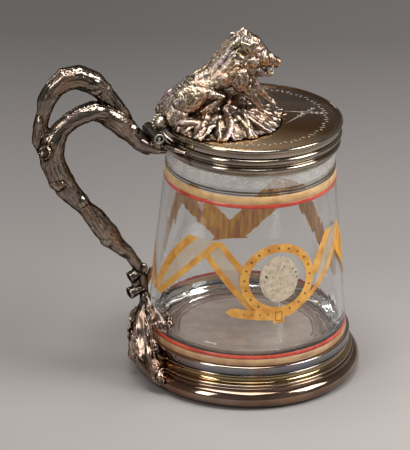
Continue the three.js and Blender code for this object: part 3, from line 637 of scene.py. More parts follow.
def blown_ripples(piece):
    """Soft ripples where the wall turns into the floor, which bend the light into streaks."""
    for vert in piece.data.vertices:
        radius = math.hypot(vert.co.x, vert.co.y) / MM
        height = vert.co.z / MM
        if radius < 30 or height > TURN_TOP - 1 or radius > glass_radius(height) - 2:
            continue
        way = math.atan2(vert.co.y, vert.co.x)
        spot = Vector((5 * math.cos(way), 5 * math.sin(way), height * 0.2 + radius * 0.1))
        vert.co.z += RIPPLE * noise.noise(spot) * MM


glass = spun("glass_vessel", glass_outline(), clear_glass, "mug", closed=False)
blown_ripples(glass)
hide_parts("glass_body")

# %% [markdown]
# Between the glass and the foot lies a thin ring of cement, seen from above through the bottom.

# %% Cement bed
BED_TOP = GLASS_BOTTOM - 0.05
BED_INSIDE = 40
BED_OUTSIDE = 52.6
bed_outline = [(BED_INSIDE, FOOT_TOP), (BED_OUTSIDE, FOOT_TOP)]
bed_outline += [(BED_OUTSIDE, BED_TOP), (BED_INSIDE, BED_TOP)]
bed = spun("cement_bed", bed_outline, plaster, "mug")

# %% [markdown]
# The rim collar has two beads with a groove between them and turns in over the edge of the glass.

# %% Rim collar
COLLAR_BOTTOM = 123.1
COLLAR_TOP = 133.2
COLLAR_LIP = 39.2
COLLAR_INSIDE = 43.7
BEAD_LOW = 126.5
BEAD_HIGH = 131.3


def collar_outline():
    start = glass_radius(COLLAR_BOTTOM) + 0.3
    outline = [(start, COLLAR_BOTTOM)]
    outline += arc(start + 0.6, COLLAR_BOTTOM + 0.6, 0.6, -90, 10, 5)
    outline += [(start + 1.2, COLLAR_BOTTOM + 1.7)]
    outline += arc(start + 1.4, BEAD_LOW, 1.5, -70, 70, 12)
    outline += arc(start + 2.2, BEAD_LOW + 2.2, 0.6, 250, 120, 6)
    outline += arc(start + 1.6, BEAD_HIGH, 1.8, -70, 75, 12)
    outline += [(start + 1.6, COLLAR_TOP), (COLLAR_LIP, COLLAR_TOP), (COLLAR_LIP, GLASS_TOP + 0.3)]
    outline += [(COLLAR_INSIDE, GLASS_TOP + 0.3), (COLLAR_INSIDE, COLLAR_BOTTOM + 1.2)]
    return outline + [(start, COLLAR_BOTTOM + 0.8)]


collar = spun("collar", collar_outline(), turned_silver, "mug")
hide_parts("rim_collar")

# %% [markdown]
# The lid is a flat disc with a fine groove near its edge and a rolled bright moulding round it.

# %% Lid
MOULDING_BOTTOM = 133.6
MOULDING_INSIDE = 43.8
MOULDING_LEDGE = 135.9
LID_UNDERSIDE = 136.2


def lid_edge_outline():
    roll = LID_RADIUS - 1.1
    outline = [(MOULDING_INSIDE, MOULDING_BOTTOM), (MOULDING_INSIDE + 1.6, MOULDING_BOTTOM)]
    outline += [(MOULDING_INSIDE + 1.6, MOULDING_LEDGE - 0.6)]
    outline += arc(roll, 137.2, 1.1, -75, 100, 14)
    outline += [(LID_RADIUS - 1.35, LID_TOP), (roll, MOULDING_LEDGE + 0.4)]
    return outline + [(roll, MOULDING_LEDGE), (MOULDING_INSIDE, MOULDING_LEDGE)]


def lid_disc_outline():
    outer = LID_RADIUS - 1.4
    groove = LID_TOP - 0.25
    outline = [(0, LID_UNDERSIDE), (outer - 0.2, LID_UNDERSIDE), (outer, LID_UNDERSIDE + 0.2)]
    outline += arc(outer - 0.5, LID_TOP - 0.5, 0.5, 0, 90, 4)
    outline += [(outer - 1.4, LID_TOP - 0.02), (outer - 1.7, groove), (outer - 2.4, groove)]
    return outline + [(outer - 2.7, LID_TOP - 0.02), (0, LID_TOP)]


lid_rim = spun("lid_moulding", lid_edge_outline(), turned_silver, "lid")
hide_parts("lid_edge")
lid_disc = spun("lid_disc", lid_disc_outline(), brown_silver, "lid", closed=False)
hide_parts("lid_plate")

# %% [markdown]
# The disc is engraved with a plain border of ticks and two crossed leafy twigs: short pointed
# strokes of the graver that show bright metal. Each stroke is a long flat diamond.

# %% Lid engraving
ENGRAVED = 0.05
TICKS = ((36.4, 39.6), (37.2, 38.8), (36.4, 38.4), (37.6, 39.6))
TICK_COUNT = 84
STROKE_WIDTH = 0.8


def engraved(name, shapes):
    """Flat (reach, near) outlines on the lid, with a little thickness."""
    maker = bmesh.new()
    for shape in shapes:
        maker.faces.new([maker.verts.new(place(reach, LID_TOP + 0.01, near)) for reach, near in shape])
    bmesh.ops.recalc_face_normals(maker, faces=maker.faces)
    bmesh.ops.solidify(maker, geom=list(maker.faces), thickness=-ENGRAVED * MM)
    piece = finished(name, maker, cut_silver, "lid")


def stroke(start, finish, width=STROKE_WIDTH):
    one, two = Vector(start), Vector(finish)
    side = (two - one).normalized().orthogonal() * width / 2
    middle = (one + two) / 2
    return [tuple(one), tuple(middle + side), tuple(two), tuple(middle - side)]


def border_strokes():
    shapes = []
    for k, way in enumerate(full_turn(TICK_COUNT)):
        lean = 0.02 * (-1) ** k
        inner, outer = TICKS[k % len(TICKS)]
        ends = ((inner, way - lean), (outer, way + lean))
        shapes.append(stroke(*[(r * math.cos(a), r * math.sin(a)) for r, a in ends]))
    return shapes


def sprig_strokes(reach, near, heading, length):
    """A plain twig with paired leaves, each leaf a stroke of the graver."""
    along = Vector((math.cos(math.radians(heading)), math.sin(math.radians(heading))))
    across = along.orthogonal()
    start = Vector((reach, near))
    shapes = [stroke(start, start + along * length, 1.0)]
    leaves = 9
    for k in range(4, leaves):
        spot = start + along * length * k / leaves
        for side in (1, -1):
            shapes.append(stroke(spot, spot + along * 2.4 + across * side * (2.4 - 0.16 * k)))
    return shapes


engraved("lid_border", border_strokes())
engraved("lid_sprigs", sprig_strokes(-11.7, 15.5, 214, 28) + sprig_strokes(-16, -1.8, 153, 23))

# %% [markdown]
# Plain bands of red and gold run round the glass near the top and the bottom, with two thin dark
# lines above and the haze of the cement under the collar. Each is a thin closed shell on the glass,
# so it shows on the far wall too.

# %% Painted bands
FILM = 0.16
BEVEL = 0.15


def band(name, low, high, material):
    low_radius, high_radius = [glass_radius(height) + 0.02 for height in (low, high)]
    inner = [(low_radius, low), (high_radius, high)]
    outer = [(glass_radius(height) + 0.02 + FILM, height) for height in (high - BEVEL, low + BEVEL)]
    piece = spun(name, inner + outer, material, "mug", sharp=60)


band("band_gold_low", 22.0, 25.4, dull_gold)
band("band_red_low", 25.6, 27.6, red)
band("band_red_high", 105.9, 107.9, red)
band("band_gold_high", 108.1, 112.2, gold)
band("line_dark_high", 113.8, 114.8, dark_line)
band("line_dark_low", 112.7, 113.3, dark_line)
band("rim_haze", 116.2, 122.7, haze)

# %% [markdown]
# The rest of the painting is drawn flat, as angles round the glass and heights. The drawing is cut
# into narrow strips, gets the thickness of the paint, and is bent onto the taper of the glass.

# %% Shapes bent onto the glass
STRIP = 1.5
MIDDLE_RADIUS = glass_radius(68)


def to_angle(length):
    """The angle in degrees that a length along the middle of the glass takes up."""
    return math.degrees(length / MIDDLE_RADIUS)


def cut_in_strips(maker):
    spots = [v.co.x for v in maker.verts]
    cut = math.floor(min(spots) / STRIP) * STRIP
    while cut < max(spots):
        geometry = list(maker.verts) + list(maker.edges) + list(maker.faces)
        bmesh.ops.bisect_plane(
            maker, geom=geometry, dist=1e-4, plane_co=(cut, 0, 0), plane_no=(1, 0, 0))
        cut += STRIP


def bent(name, polygons, material, lift, thick=FILM):
    """Flat polygons of (angle, height) points, given a thickness and bent round the glass."""
    maker = bmesh.new()
    for polygon in polygons:
        corners = [(math.radians(angle) * MIDDLE_RADIUS, height, 0) for angle, height in polygon]
        maker.faces.new([maker.verts.new(corner) for corner in corners])
    bmesh.ops.remove_doubles(maker, verts=maker.verts, dist=1e-4)
    cut_in_strips(maker)
    bmesh.ops.recalc_face_normals(maker, faces=maker.faces)
    bmesh.ops.solidify(maker, geom=list(maker.faces), thickness=thick)
    base = min(v.co.z for v in maker.verts)
    for vert in maker.verts:
        angle = vert.co.x / MIDDLE_RADIUS
        radius = glass_radius(vert.co.y) + lift + (vert.co.z - base)
        vert.co = Vector((-radius * math.cos(angle), -radius * math.sin(angle), vert.co.y)) * MM
    piece = finished(name, maker, material, "mug", sharp=50)


print("one millimetre round the glass is", round(to_angle(1), 2), "degrees")

# %% [markdown]
# A broad ribbon zigzags round the glass, folded at every turn. Its edges are slanting lines, each
# given as an angle for every share of the way down, and a stripe of paint is the room between two of
# them. A stripe is made of short rows, so that a curved edge looks smooth, and a line can be cut off
# where it runs under the ring on the near side.

# %% Lines of the ribbon
RIBBON_TOP = 87
RIBBON_FALL = 39
RIBBON_WIDTH = 21.6
EDGE = 5.4
PEAKS = [42, 132, 219, 303]
LEFT_OF_PEAK = 12.5
RIGHT_OF_PEAK = 9.1
FALLING_RUN = 43.5
RISING_RUN = 45.4
STRIPE_STEPS = 6
RING = {
    "angle": 86.5, "height": 68.0, "outer": 20.0, "inner": 15.4, "tall": 0.95, "covers_from": 17.6,
}


def height_at(share):
    return RIBBON_TOP - RIBBON_FALL * share


def slant(start, run, bend=0):
    """A line down the ribbon: its angle at each share of the fall."""
    return lambda share: start + run * share + bend * share * share


def shifted(line, by):
    return lambda share: line(share) + by


def stripe(left, right, first, last):
    """Polygons between two slanting lines, each with its own first and last share of the fall."""
    rows = []
    for k in range(STRIPE_STEPS + 1):
        one, two = [first[i] + (last[i] - first[i]) * k / STRIPE_STEPS for i in (0, 1)]
        rows.append(((left(one), height_at(one)), (right(two), height_at(two))))
    return [[above[0], above[1], below[1], below[0]] for above, below in zip(rows, rows[1:])]


def meets_ring(line, start=0.0):
    """How far down a line runs until it is under the middle of the ring's band."""
    share = start
    while share < 1:
        across = math.radians(line(share) - RING["angle"]) * MIDDLE_RADIUS
        if math.hypot(across, (height_at(share) - RING["height"]) / RING["tall"]) < RING["covers_from"]:
            break
        share += 0.01
    return share


print("peaks of the ribbon:", len(PEAKS), "and each leg falls", RIBBON_FALL, "mm")

# %% [markdown]
# Two legs meet at every peak, and the rising one lies over the falling one, as in a folded ribbon.
# On the near side a leg has coloured edges and a pale middle, and on the far side it is filled with
# amber: the back of the paint, lightened as painted light, with up and down streaks that are partly
# brush strokes and partly painted streaks of light. The middle is half as thick as the edges, as a
# thin wash of paint is.

# %% Legs of the ribbon


def rising_lines(peak):
    """The upper and lower edge of a rising leg; the two that meet the ring are curved."""
    if peak == PEAKS[0]:
        return slant(peak - 15.2, -50, 19), slant(peak + RIGHT_OF_PEAK, -RISING_RUN)
    if peak == PEAKS[1]:
        return slant(peak - 8, -42, 19), slant(peak + 11, -14.5, -35)
    return slant(peak - LEFT_OF_PEAK, -FALLING_RUN), slant(peak + RIGHT_OF_PEAK, -RISING_RUN)


def rising_leg(peak, near):
    """The leg that climbs to a peak; it lies over the falling one."""
    upper, lower = rising_lines(peak)
    inner_upper, inner_lower = shifted(upper, EDGE + 1.6), shifted(lower, -EDGE)
    upper_end, pale_end = (meets_ring(upper), 0.7) if peak == PEAKS[1] else (1, 1)
    edges = stripe(upper, inner_upper, (0, 0), (upper_end, upper_end))
    edges += stripe(inner_lower, lower, (0, 0), (1, 1))
    middle = stripe(inner_upper, inner_lower, (0, 0), (pale_end, pale_end))
    # On the far side the amber carries painted light.
    bent(f"ribbon_rise_{peak}", edges, ochre if near else amber_with_painted_light, 0.22)
    bent(f"ribbon_rise_middle_{peak}", middle, pale if near else amber_with_painted_light, 0.22, FILM / 2)


def falling_leg(peak, near):
    shifts = (0, EDGE, RIBBON_WIDTH - EDGE, RIBBON_WIDTH)
    lines = [slant(peak - LEFT_OF_PEAK + by, FALLING_RUN) for by in shifts]
    starts = [(RIBBON_WIDTH - by) / (FALLING_RUN + RISING_RUN) for by in shifts]
    ends = [meets_ring(line, start) if near else 1 for line, start in zip(lines, starts)]
    edges = stripe(lines[0], lines[1], starts[:2], ends[:2])
    edges += stripe(lines[2], lines[3], starts[2:], ends[2:])
    middle = stripe(lines[1], lines[2], starts[1:3], ends[1:3])
    # On the far side the amber carries painted light.
    bent(f"ribbon_fall_{peak}", edges, ochre if near else amber_with_painted_light, 0.02)
    bent(f"ribbon_fall_middle_{peak}", middle, pale if near else amber_with_painted_light, 0.02, FILM / 2)


for peak in PEAKS:
    rising_leg(peak, peak in PEAKS[:2])
    falling_leg(peak, peak == PEAKS[0])

# %% [markdown]
# On the near side the ribbon meets a round ring with a pale disc inside. The disc has a nibbled
# edge and small dark places where its paint has chipped off.

# %% Ring and disc
DISC = {"angle": RING["angle"] + 0.2, "height": RING["height"] + 0.3, "wide": 10.2, "high": 12.0}
SPECKS = {"count": 13, "reach": 9.6, "smallest": 0.25, "largest": 0.6}


def circle_points(radius, steps=48, angle=RING["angle"], height=RING["height"]):
    spots = []
    for way in full_turn(steps):
        along = to_angle(radius * math.cos(way))
        spots.append((angle + along, height + radius * RING["tall"] * math.sin(way)))
    return spots


def ring_polygons(outer, inner):
    out, into = circle_points(outer), circle_points(inner)
    count = len(out)
    return [[out[k], out[(k + 1) % count], into[(k + 1) % count], into[k]] for k in range(count)]


def worn_disc():
    spots = []
    for way in full_turn(64):
        push = 1 + 0.05 * noise.noise(Vector((3 * math.cos(way), 3 * math.sin(way), 7.3)))
        along = to_angle(DISC["wide"] * push * math.cos(way))
        spots.append((DISC["angle"] + along, DISC["height"] + DISC["high"] * push * math.sin(way)))
    return spots


def worn_specks():
    draw = random.Random(11)
    specks = []
    for _ in range(SPECKS["count"]):
        way = draw.uniform(0, 2 * math.pi)
        reach = SPECKS["reach"] * math.sqrt(draw.uniform(0.02, 1))
        angle = RING["angle"] + to_angle(reach * math.cos(way))
        size = draw.uniform(SPECKS["smallest"], SPECKS["largest"])
        specks.append(circle_points(size, 5, angle, DISC["height"] + reach * math.sin(way)))
    return specks


bent("ring_band", ring_polygons(RING["outer"], RING["inner"]), ochre, 0.42)
bent("ring_disc", [worn_disc()], chalk, 0.42)
bent("ring_disc_specks", worn_specks(), dark_line, 0.6, 0.05)

# %% [markdown]
# The ring is drawn as a strap: its pointed end sticks out past a square buckle, and it has a few
# holes and a row of plain dots. Each layer lies a little higher on the glass than the one before.

# %% Strap, buckle and dots
DOT_COUNT = 20
DOT_SIZE = 0.55


def frame_lines(left, right, low, high, width):
    from_left, from_right = left + to_angle(width), right - to_angle(width)
    bars = [(left, from_left, low, high), (from_right, right, low, high)]
    bars += [(from_left, from_right, low, low + width), (from_left, from_right, high - width, high)]
    return [[(a, c), (b, c), (b, d), (a, d)] for a, b, c, d in bars]


def ring_dots():
    dots = []
    for way in full_turn(DOT_COUNT):
        reach = (RING["outer"] + RING["inner"]) / 2
        along = RING["angle"] + to_angle(reach * math.cos(way))
        height = RING["height"] + RING["tall"] * reach * math.sin(way)
        dots.append(circle_points(DOT_SIZE, 8, along, height))
    return dots


bent("strap_tail", [
    [(55.0, 50.6), (58.0, 52.8), (60.4, 53.0), (60.4, 48.2), (58.6, 48.4)],
    [(60.4, 53.0), (71.0, 52.3), (71.0, 47.3), (60.4, 48.2)],
    [(71.0, 52.3), (83.4, 52.2), (83.4, 46.6), (71.0, 47.3)],
], ochre, 0.62)
bent("strap_buckle", [[(82.6, 45.0), (89.4, 45.0), (89.4, 52.4), (82.6, 52.4)]], ochre, 0.82)
bent("buckle_lines", frame_lines(83.8, 88.2, 46.2, 51.2, 0.4), brown_line, 1.0, 0.05)
strap_holes = [circle_points(0.4, 7, angle, 50.0) for angle in (66.0, 70.5, 75.0, 79.5)]
bent("strap_holes", strap_holes, dark_line, 0.82, 0.05)
bent("ring_dots", ring_dots(), dark_line, 0.62, 0.06)

# %% [markdown]
# Castings are modelled from the inside out: a branch is a row of ovals along its middle line,
# bridged into a skin. A row gives the reach, height and near side of the middle, then its half
# width and, where it is not round, its half depth. A dictionary keeps the edges of an oval in the
# order in which they are met, which a set does not, so every run bridges them in the same way.

# %% Branches


def once_each(things):
    """The things in the order in which they are met, each of them once."""
    return list(dict.fromkeys(things))


def frames_along(rows):
    """Stations of a branch: middle point, half width and half depth, and its three directions."""
    points = [place(*row[:3]) for row in rows]
    stations = []
    for i, row in enumerate(rows):
        along = (points[min(i + 1, len(rows) - 1)] - points[max(i - 1, 0)]).normalized()
        side = Vector((0, 1, 0))
        side = (side - along * side.dot(along)).normalized()
        sizes = row[3:] if len(row) == 5 else (row[3], row[3])
        stations.append((points[i], sizes[0] * MM, sizes[1] * MM, along, side, along.cross(side)))
    return stations


def add_branch(maker, rows, sides=12):
    """Bridges ovals along the rows into a closed skin inside the given bmesh."""
    loops = []
    for spot, wide, deep, along, side, lift in frames_along(rows):
        turned = Matrix((side * wide, lift * deep, along)).transposed().to_4x4()
        made = bmesh.ops.create_circle(
            maker, cap_ends=False, segments=sides, radius=1, matrix=Matrix.Translation(spot) @ turned)
        loops.append(made["verts"])
    rings = [once_each(e for v in loop for e in v.link_edges) for loop in loops]
    for one, two in zip(rings, rings[1:]):
        bmesh.ops.bridge_loops(maker, edges=one + two)
    for ring in (rings[0], rings[-1]):
        bmesh.ops.edgeloop_fill(maker, edges=ring)


print("branches ready")

# %% [markdown]
# Knots and rocks are eggs, pushed about by noise where they should look broken. A leaf is a grid
# laid along its middle line, with lobes, a hollow vein and turned-up sides, made solid last.

# %% Lumps and leaves


def add_lump(maker, reach, height, near, radii, lumpy=0.0, detail=2):
    """An egg, or with lumpy a broken rock, at the given place."""
    sizes = radii if isinstance(radii, tuple) else (radii,) * 3
    made = bmesh.ops.create_icosphere(maker, subdivisions=detail, radius=1)["verts"]
    middle = place(reach, height, near)
    for vert in made:
        push = 1 + lumpy * noise.noise(vert.co * 1.6 + middle * 400)
        vert.co = middle + Vector([c * size * MM * push for c, size in zip(vert.co, sizes)])


def add_leaf(maker, rows, face, lobes=3, cup=0.25, thick=1.3, fold=0.5):
    """A lobed leaf: rows of reach, height, near and half width; face is where its front looks."""
    long_cells, wide_cells = 22, 8
    grid = bmesh.ops.create_grid(maker, x_segments=long_cells, y_segments=wide_cells, size=0.5)["verts"]
    points = [place(*row[:3]) for row in rows]
    widths = [row[3] for row in rows]
    front = Vector(face).normalized()
    for vert in grid:
        run = (vert.co.x + 0.5) * (len(rows) - 1)
        across = vert.co.y * 2
        low = min(int(run), len(rows) - 2)
        share = run - low
        spot = points[low].lerp(points[low + 1], share)
        along = (points[low + 1] - points[low]).normalized()
        width = widths[low] * (1 - share) + widths[low + 1] * share
        lobe = 1 + 0.22 * math.cos(2 * math.pi * lobes * (vert.co.x + 0.5) + math.pi)
        side = front.cross(along).normalized()
        vein = 0.3 * math.cos(2 * math.pi * (lobes * (vert.co.x + 0.5) - abs(across) * 0.8))
        rise = cup * width * across ** 2 - fold * math.exp(-(across / 0.2) ** 2) + vein * abs(across)
        vert.co = spot + (side * across * width * lobe + front * rise) * MM
    faces = once_each(f for v in grid for f in v.link_faces)
    bmesh.ops.solidify(maker, geom=faces, thickness=thick * MM)


print("lumps and leaves ready")

# %% [markdown]
# All the branches of a casting are fused into one skin with a voxel remesh, as wax pieces are
# joined before casting. The remesh leaves small steps, so every point is smoothed once.

# %% Fusing


def remeshed(name, maker, voxel):
    """Fuses everything in the bmesh into one even skin."""
    bmesh.ops.recalc_face_normals(maker, faces=maker.faces)
    rough_mesh = bpy.data.meshes.new(name + "_rough")
    maker.to_mesh(rough_mesh)
    maker.free()
    rough = bpy.data.objects.new(name + "_rough", rough_mesh)
    bpy.context.scene.collection.objects.link(rough)
    modifier = rough.modifiers.new("fuse", "REMESH")
    modifier.mode = "VOXEL"
    modifier.voxel_size = voxel * MM
    bpy.context.view_layer.update()
    evaluated = rough.evaluated_get(bpy.context.evaluated_depsgraph_get())
    fused = bpy.data.meshes.new_from_object(evaluated)
    bpy.data.objects.remove(rough)
    result = bmesh.new()
    result.from_mesh(fused)
    bpy.data.meshes.remove(fused)
    bmesh.ops.smooth_vert(
        result, verts=result.verts, factor=0.5, use_axis_x=True, use_axis_y=True, use_axis_z=True)
    return result


print("fusing ready")

# %% [markdown]
# The fused skin is carved by moving each point along its normal, which keeps it closed. To carve
# along the grain, as bark and hair run, each point asks which spot of which branch is nearest. A
# search tree over the middle lines of the branches answers that quickly.

# %% Carving
SAMPLE_STEP = 0.8
BRANCH_GAP = 40.0


def middle_line(branches):
    """Closely spaced points on the middle lines, for finding where on a branch a point lies."""
    samples = []
    for number, rows in enumerate(branches):
        run = BRANCH_GAP * number
        stations = frames_along(rows)
        for one, two in zip(stations, stations[1:]):
            length = (two[0] - one[0]).length / MM
            count = max(1, int(length / SAMPLE_STEP))
            for k in range(count):
                share = k / count
                sizes = [(a + b) / 2 / MM for a, b in (one[1:3], two[1:3])]
                size = sizes[0] * (1 - share) + sizes[1] * share
                spot = one[0].lerp(two[0], share)
                samples.append((spot, *one[3:6], run + length * share, size))
            run += length
    tree = kdtree.KDTree(len(samples))
    for k, sample in enumerate(samples):
        tree.insert(sample[0], k)
    tree.balance()
    return samples, tree


def carve(maker, branches, depth):
    """Moves every point along its normal. What depth gets is the run along the branch, the way round
    it, the point, the branch's size there, and a share that drops to 0 past the branch's end."""
    samples, tree = middle_line(branches)
    maker.normal_update()
    moves = []
    for vert in maker.verts:
        spot, along, side, lift, run, size = samples[tree.find(vert.co)[1]]
        out = (vert.co - spot) / MM
        round_it = math.atan2(out.dot(lift), out.dot(side))
        past_end = min(abs(out.dot(along)) / size, 1)
        moves.append(vert.normal * depth(run, round_it, vert.co / MM, size, 1 - past_end) * MM)
    for vert, move in zip(maker.verts, moves):
        vert.co += move


def push_out(vert, limit):
    """Moves a point away from the axis of the mug, to at least limit millimetres."""
    radius = math.hypot(vert.co.x, vert.co.y) / MM
    if radius < limit:
        vert.co.x *= limit / radius
        vert.co.y *= limit / radius


print("carving ready")

# %% [markdown]
# The handle is a gnarled oak branch: it leaves the hinge, arches over the hand, and comes down to
# roots on the foot, with a second branch that makes an open loop above it. Oak leaves lie over the
# roots, and small knots and a sawn stump break its outline.

# %% Branches of the handle
TRUNK = [
    (55.6, 128.6, 0, 5.2, 3.8), (57.2, 129.4, 0, 5.3, 4), (62, 133.2, 0, 5.4, 4.6),
    (67.5, 139.5, 0, 5.5, 5.7), (73.5, 145.2, 0, 5.7), (79.5, 149.8, 0, 5.5), (86, 152.3, 0.5, 5.3),
    (92.5, 151.5, 1, 4.8), (98, 148.8, 1, 4.5), (103, 144.7, 1, 4.9), (106.8, 139.5, 1, 5.9),
    (108.3, 133, 0.5, 6.7), (107, 126.3, 0, 6.4), (104, 119.4, 0, 6.2), (100.3, 112.8, 0, 5.8),
    (95.3, 106.6, 0, 5.1), (90.2, 100.6, 0, 4.1), (87.6, 97.4, 0, 4.7), (85.1, 94.3, 0, 5.2),
    (80, 87, 0, 5.6), (74.9, 80, 0, 5.1), (69.9, 74.6, 0, 3.9), (65.2, 70, 0, 2.9),
    (61.7, 64.3, 0, 2.9), (59.2, 57, 0, 2.6), (57.5, 49.5, 0, 2.6), (57, 42, 0, 2.8),
    (57.2, 36, 0, 2.6),
]
UPPER = [
    (67.2, 143.2, -1.5, 3.4), (71, 147.6, -2, 4.5), (75.2, 154.2, -2.5, 4.9),
    (79.4, 160.5, -3, 5.1), (85, 166.1, -3, 5.6), (92.8, 169.8, -3, 6.1), (99.6, 169.4, -3.5, 6.1),
    (105, 165.2, -4, 5.3), (108.4, 159, -4.5, 4.5), (110.2, 151.8, -5, 4), (111.8, 144.8, -5, 4),
    (112.2, 138.2, -4.5, 4), (110.4, 132.5, -4, 3.7), (107.8, 129, -3, 3),
]
CUT_STUB = [(106.5, 131, 0, 4.4), (110.4, 133.4, 2.8, 3.8, 4.2), (113.6, 135.2, 5.4, 3.4, 4)]
BUDS = [
    [(60.5, 60.2, 0.5, 2.2), (63.6, 59, 1, 3), (66.4, 57.9, 1.4, 3.1)],
    [(57.8, 51, 0.5, 2.2), (62.6, 49.8, 1, 3), (66, 48.9, 1.4, 3.1)],
]
TWIG = [(57.6, 50.5, 0, 1.8), (55.2, 56, 0, 1.5), (53.7, 61.5, 0, 0.9)]
ROOT_NEAR = [
    (57, 40, 1, 2.6, 2.4), (57.6, 33, 3.5, 4, 3), (58.2, 25.5, 7.5, 5, 3.4),
    (58.4, 18, 11.5, 5, 3.6), (57.8, 12, 15.5, 4.6, 3.4), (56.6, 7.6, 19, 3.4, 2.8),
]
ROOT_FAR = [
    (57, 40, -1, 2.2, 2.2), (57.6, 31, -2.5, 3.2, 3), (58.6, 22.5, -4, 3.6, 3.2),
    (60.4, 14.5, -4.5, 3.4, 3.2), (61.2, 9, -5, 2.8, 2.6),
]
ROOT_BACK = [(57.4, 30, -3, 2.2), (57.6, 22, -9, 2.8), (57.4, 14, -14, 2.8), (56.8, 8, -17.5, 2.4)]
HANDLE_BRANCHES = [TRUNK, UPPER, CUT_STUB, *BUDS, TWIG, ROOT_NEAR, ROOT_FAR, ROOT_BACK]
print("handle branches:", len(HANDLE_BRANCHES))

# %% [markdown]
# Knots swell the branches, and five leaves with curled tips lie over the roots.

# %% Knots and leaves of the handle
KNOTS = [
    (104.8, 116.6, 1, (5, 6.6, 4.4)), (110.4, 127.6, 1, (3.4, 3.8, 4.4)),
    (112.6, 147.6, -3.5, (2.8, 2.8, 5)), (78.4, 82, 1.8, (4.2, 3.8, 5)),
    (93, 105.4, 1.8, (4, 4, 4)), (88, 98.8, -1.6, (3.4, 3.4, 3.4)),
    (84, 163.2, -0.4, (4.4, 3.6, 3)), (66.2, 140, 2.2, (4.4, 3.6, 4.2)),
    (62.6, 54.4, 1, (2.4, 2, 2.6)), (58.4, 62, 1.4, (2.2, 2.2, 3)),
    (57.4, 46, 2.2, (2.8, 2.4, 3.4)),
]
LEAF_MAIN = [
    (58, 44, 3.4, 1.8), (59.2, 38, 6, 4.4), (60.2, 31, 9.4, 6.2), (60.2, 24, 13.4, 6.4),
    (59.4, 17, 17.6, 5.8), (57.8, 11.4, 21.6, 4.8), (56, 7.4, 24.8, 2),
]
LEAF_LEFT = [
    (59, 41, -1, 1.4), (61.8, 36.4, -0.4, 3), (63.8, 31.4, 0, 3.8), (63.6, 26, 0.2, 3.4),
    (62.2, 21.4, 0.4, 1.4),
]
LEAF_LOW = [(60.4, 24, 0.6, 1.6), (62.4, 19, 1, 3.4), (63.2, 14, 1.8, 3.6), (62.8, 9.6, 2.6, 1.6)]
LEAF_RIGHT = [
    (57, 48, 4.6, 1.6), (55.8, 44.6, 8.8, 4.4), (54.2, 41.4, 13, 5.8), (52.4, 38.8, 17, 5.6),
    (51, 36.4, 20.4, 3.2),
]
LEAF_BACK = [
    (59.4, 38, -4, 1.4), (59.8, 32, -8, 4), (59, 26, -12, 4.8), (58.4, 20, -15.6, 4.2),
    (57.8, 14, -19, 1.6),
]
CURLS = [
    (51.6, 37.6, 19.6, (2.6, 2.6, 2.8)), (52.6, 34.2, 17.6, (2, 2, 2.6)),
    (56.6, 9, 23.4, (1.6, 1.6, 2.6)),
]
HANDLE_LEAVES = [
    (LEAF_MAIN, (-0.85, -0.5, 0.2), 3), (LEAF_LEFT, (-1, -0.3, 0.1), 2), (LEAF_LOW, (-1, -0.4, 0.2), 2),
    (LEAF_RIGHT, (-0.75, -0.6, 0.25), 3), (LEAF_BACK, (-0.85, 0.5, 0.2), 3),
]
print("knots:", len(KNOTS), "leaves:", len(HANDLE_LEAVES))

# %% [markdown]
# Bark is carved in three ways at once: broad lumps, long fine grooves that follow the branch, and
# patches of stipple. The upper sides are chased with crossing cuts, and the sawn face is dished.

# %% Bark and cuts
STIPPLE_FROM = 46
BARK_FROM = 30
CHASED_FROM = 62
STUMP_FACE = place(113.6, 135.2, 5.4)
STUMP_WAY = Vector((-0.72, -0.66, 0.1)).normalized()


def limited(value):
    return max(0, min(1, value))


def bark(run, round_it, spot, size, side_share):
    """Depth of the bark; low down the leaves stay nearly smooth."""
    grain = Vector((math.cos(round_it) * 1.6, math.sin(round_it) * 1.6, run * 0.05))
    groove = max(0, 1 - abs(noise.noise(grain * 1.9)) * 6)
    lumps = noise.noise(spot * 0.11) * 0.9 + noise.noise(spot * 0.24) * 0.3
    patch = limited(noise.noise(spot * 0.07) * 4) * limited((spot.z - STIPPLE_FROM) / 10)
    leafy = max(0.25, min(1, (spot.z - BARK_FROM) / 20))
    grooves = (0.04 - 0.14 * groove) * side_share * leafy
    return (grooves + lumps) * min(size / 4, 1) + 0.12 * noise.noise(spot * 1.3) * patch


def dish_the_stump(maker):
    """Hollows the sawn face of the stump and leaves a soft raised rim round it."""
    for vert in maker.verts:
        away = (vert.co - STUMP_FACE) / MM
        along = away.dot(STUMP_WAY)
        radial = (away - STUMP_WAY * along).length
        if -2.2 < along and radial < 4.6:
            push = 0.25 * math.exp(-((radial - 3.4) / 0.6) ** 2) - 0.7 * math.exp(-(radial / 2.8) ** 4)
            vert.co += STUMP_WAY * push * MM


def rough_tops(maker):
    """The upper side of the branches is chased with fine crossing cuts."""
    maker.normal_update()
    for vert in maker.verts:
        share = limited((vert.normal.z - 0.55) / 0.3)
        if vert.co.z < CHASED_FROM * MM or share == 0:
            continue
        spot = vert.co / MM
        cuts = abs(noise.noise(Vector((spot.x * 1.3, spot.y * 0.7, spot.z * 1.3)))) * 2
        vert.co += vert.normal * (0.12 - 0.34 * cuts) * share * MM


print("the upper sides are chased above", CHASED_FROM, "mm")

# %% [markdown]
# The roots are pressed against the glass and the foot, so that none of them reaches inside. Then
# the whole handle is fused, carved and seated.

# %% Handle casting
COVE_TOP = 12.6


def root_limit(height):
    """How close to the axis the roots may come at a height, in millimetres."""
    if height < 2 * MOULDING:
        rise = min(abs(height - MOULDING), MOULDING)
        return FOOT_RADIUS - MOULDING + math.sqrt(MOULDING ** 2 - rise ** 2) + 0.3
    if height < COVE_TOP:
        return FOOT_RADIUS - 3.7
    if height < BEZEL_TOP + 0.2:
        return BEZEL_RADIUS + 0.3
    return glass_radius(height) + 0.35


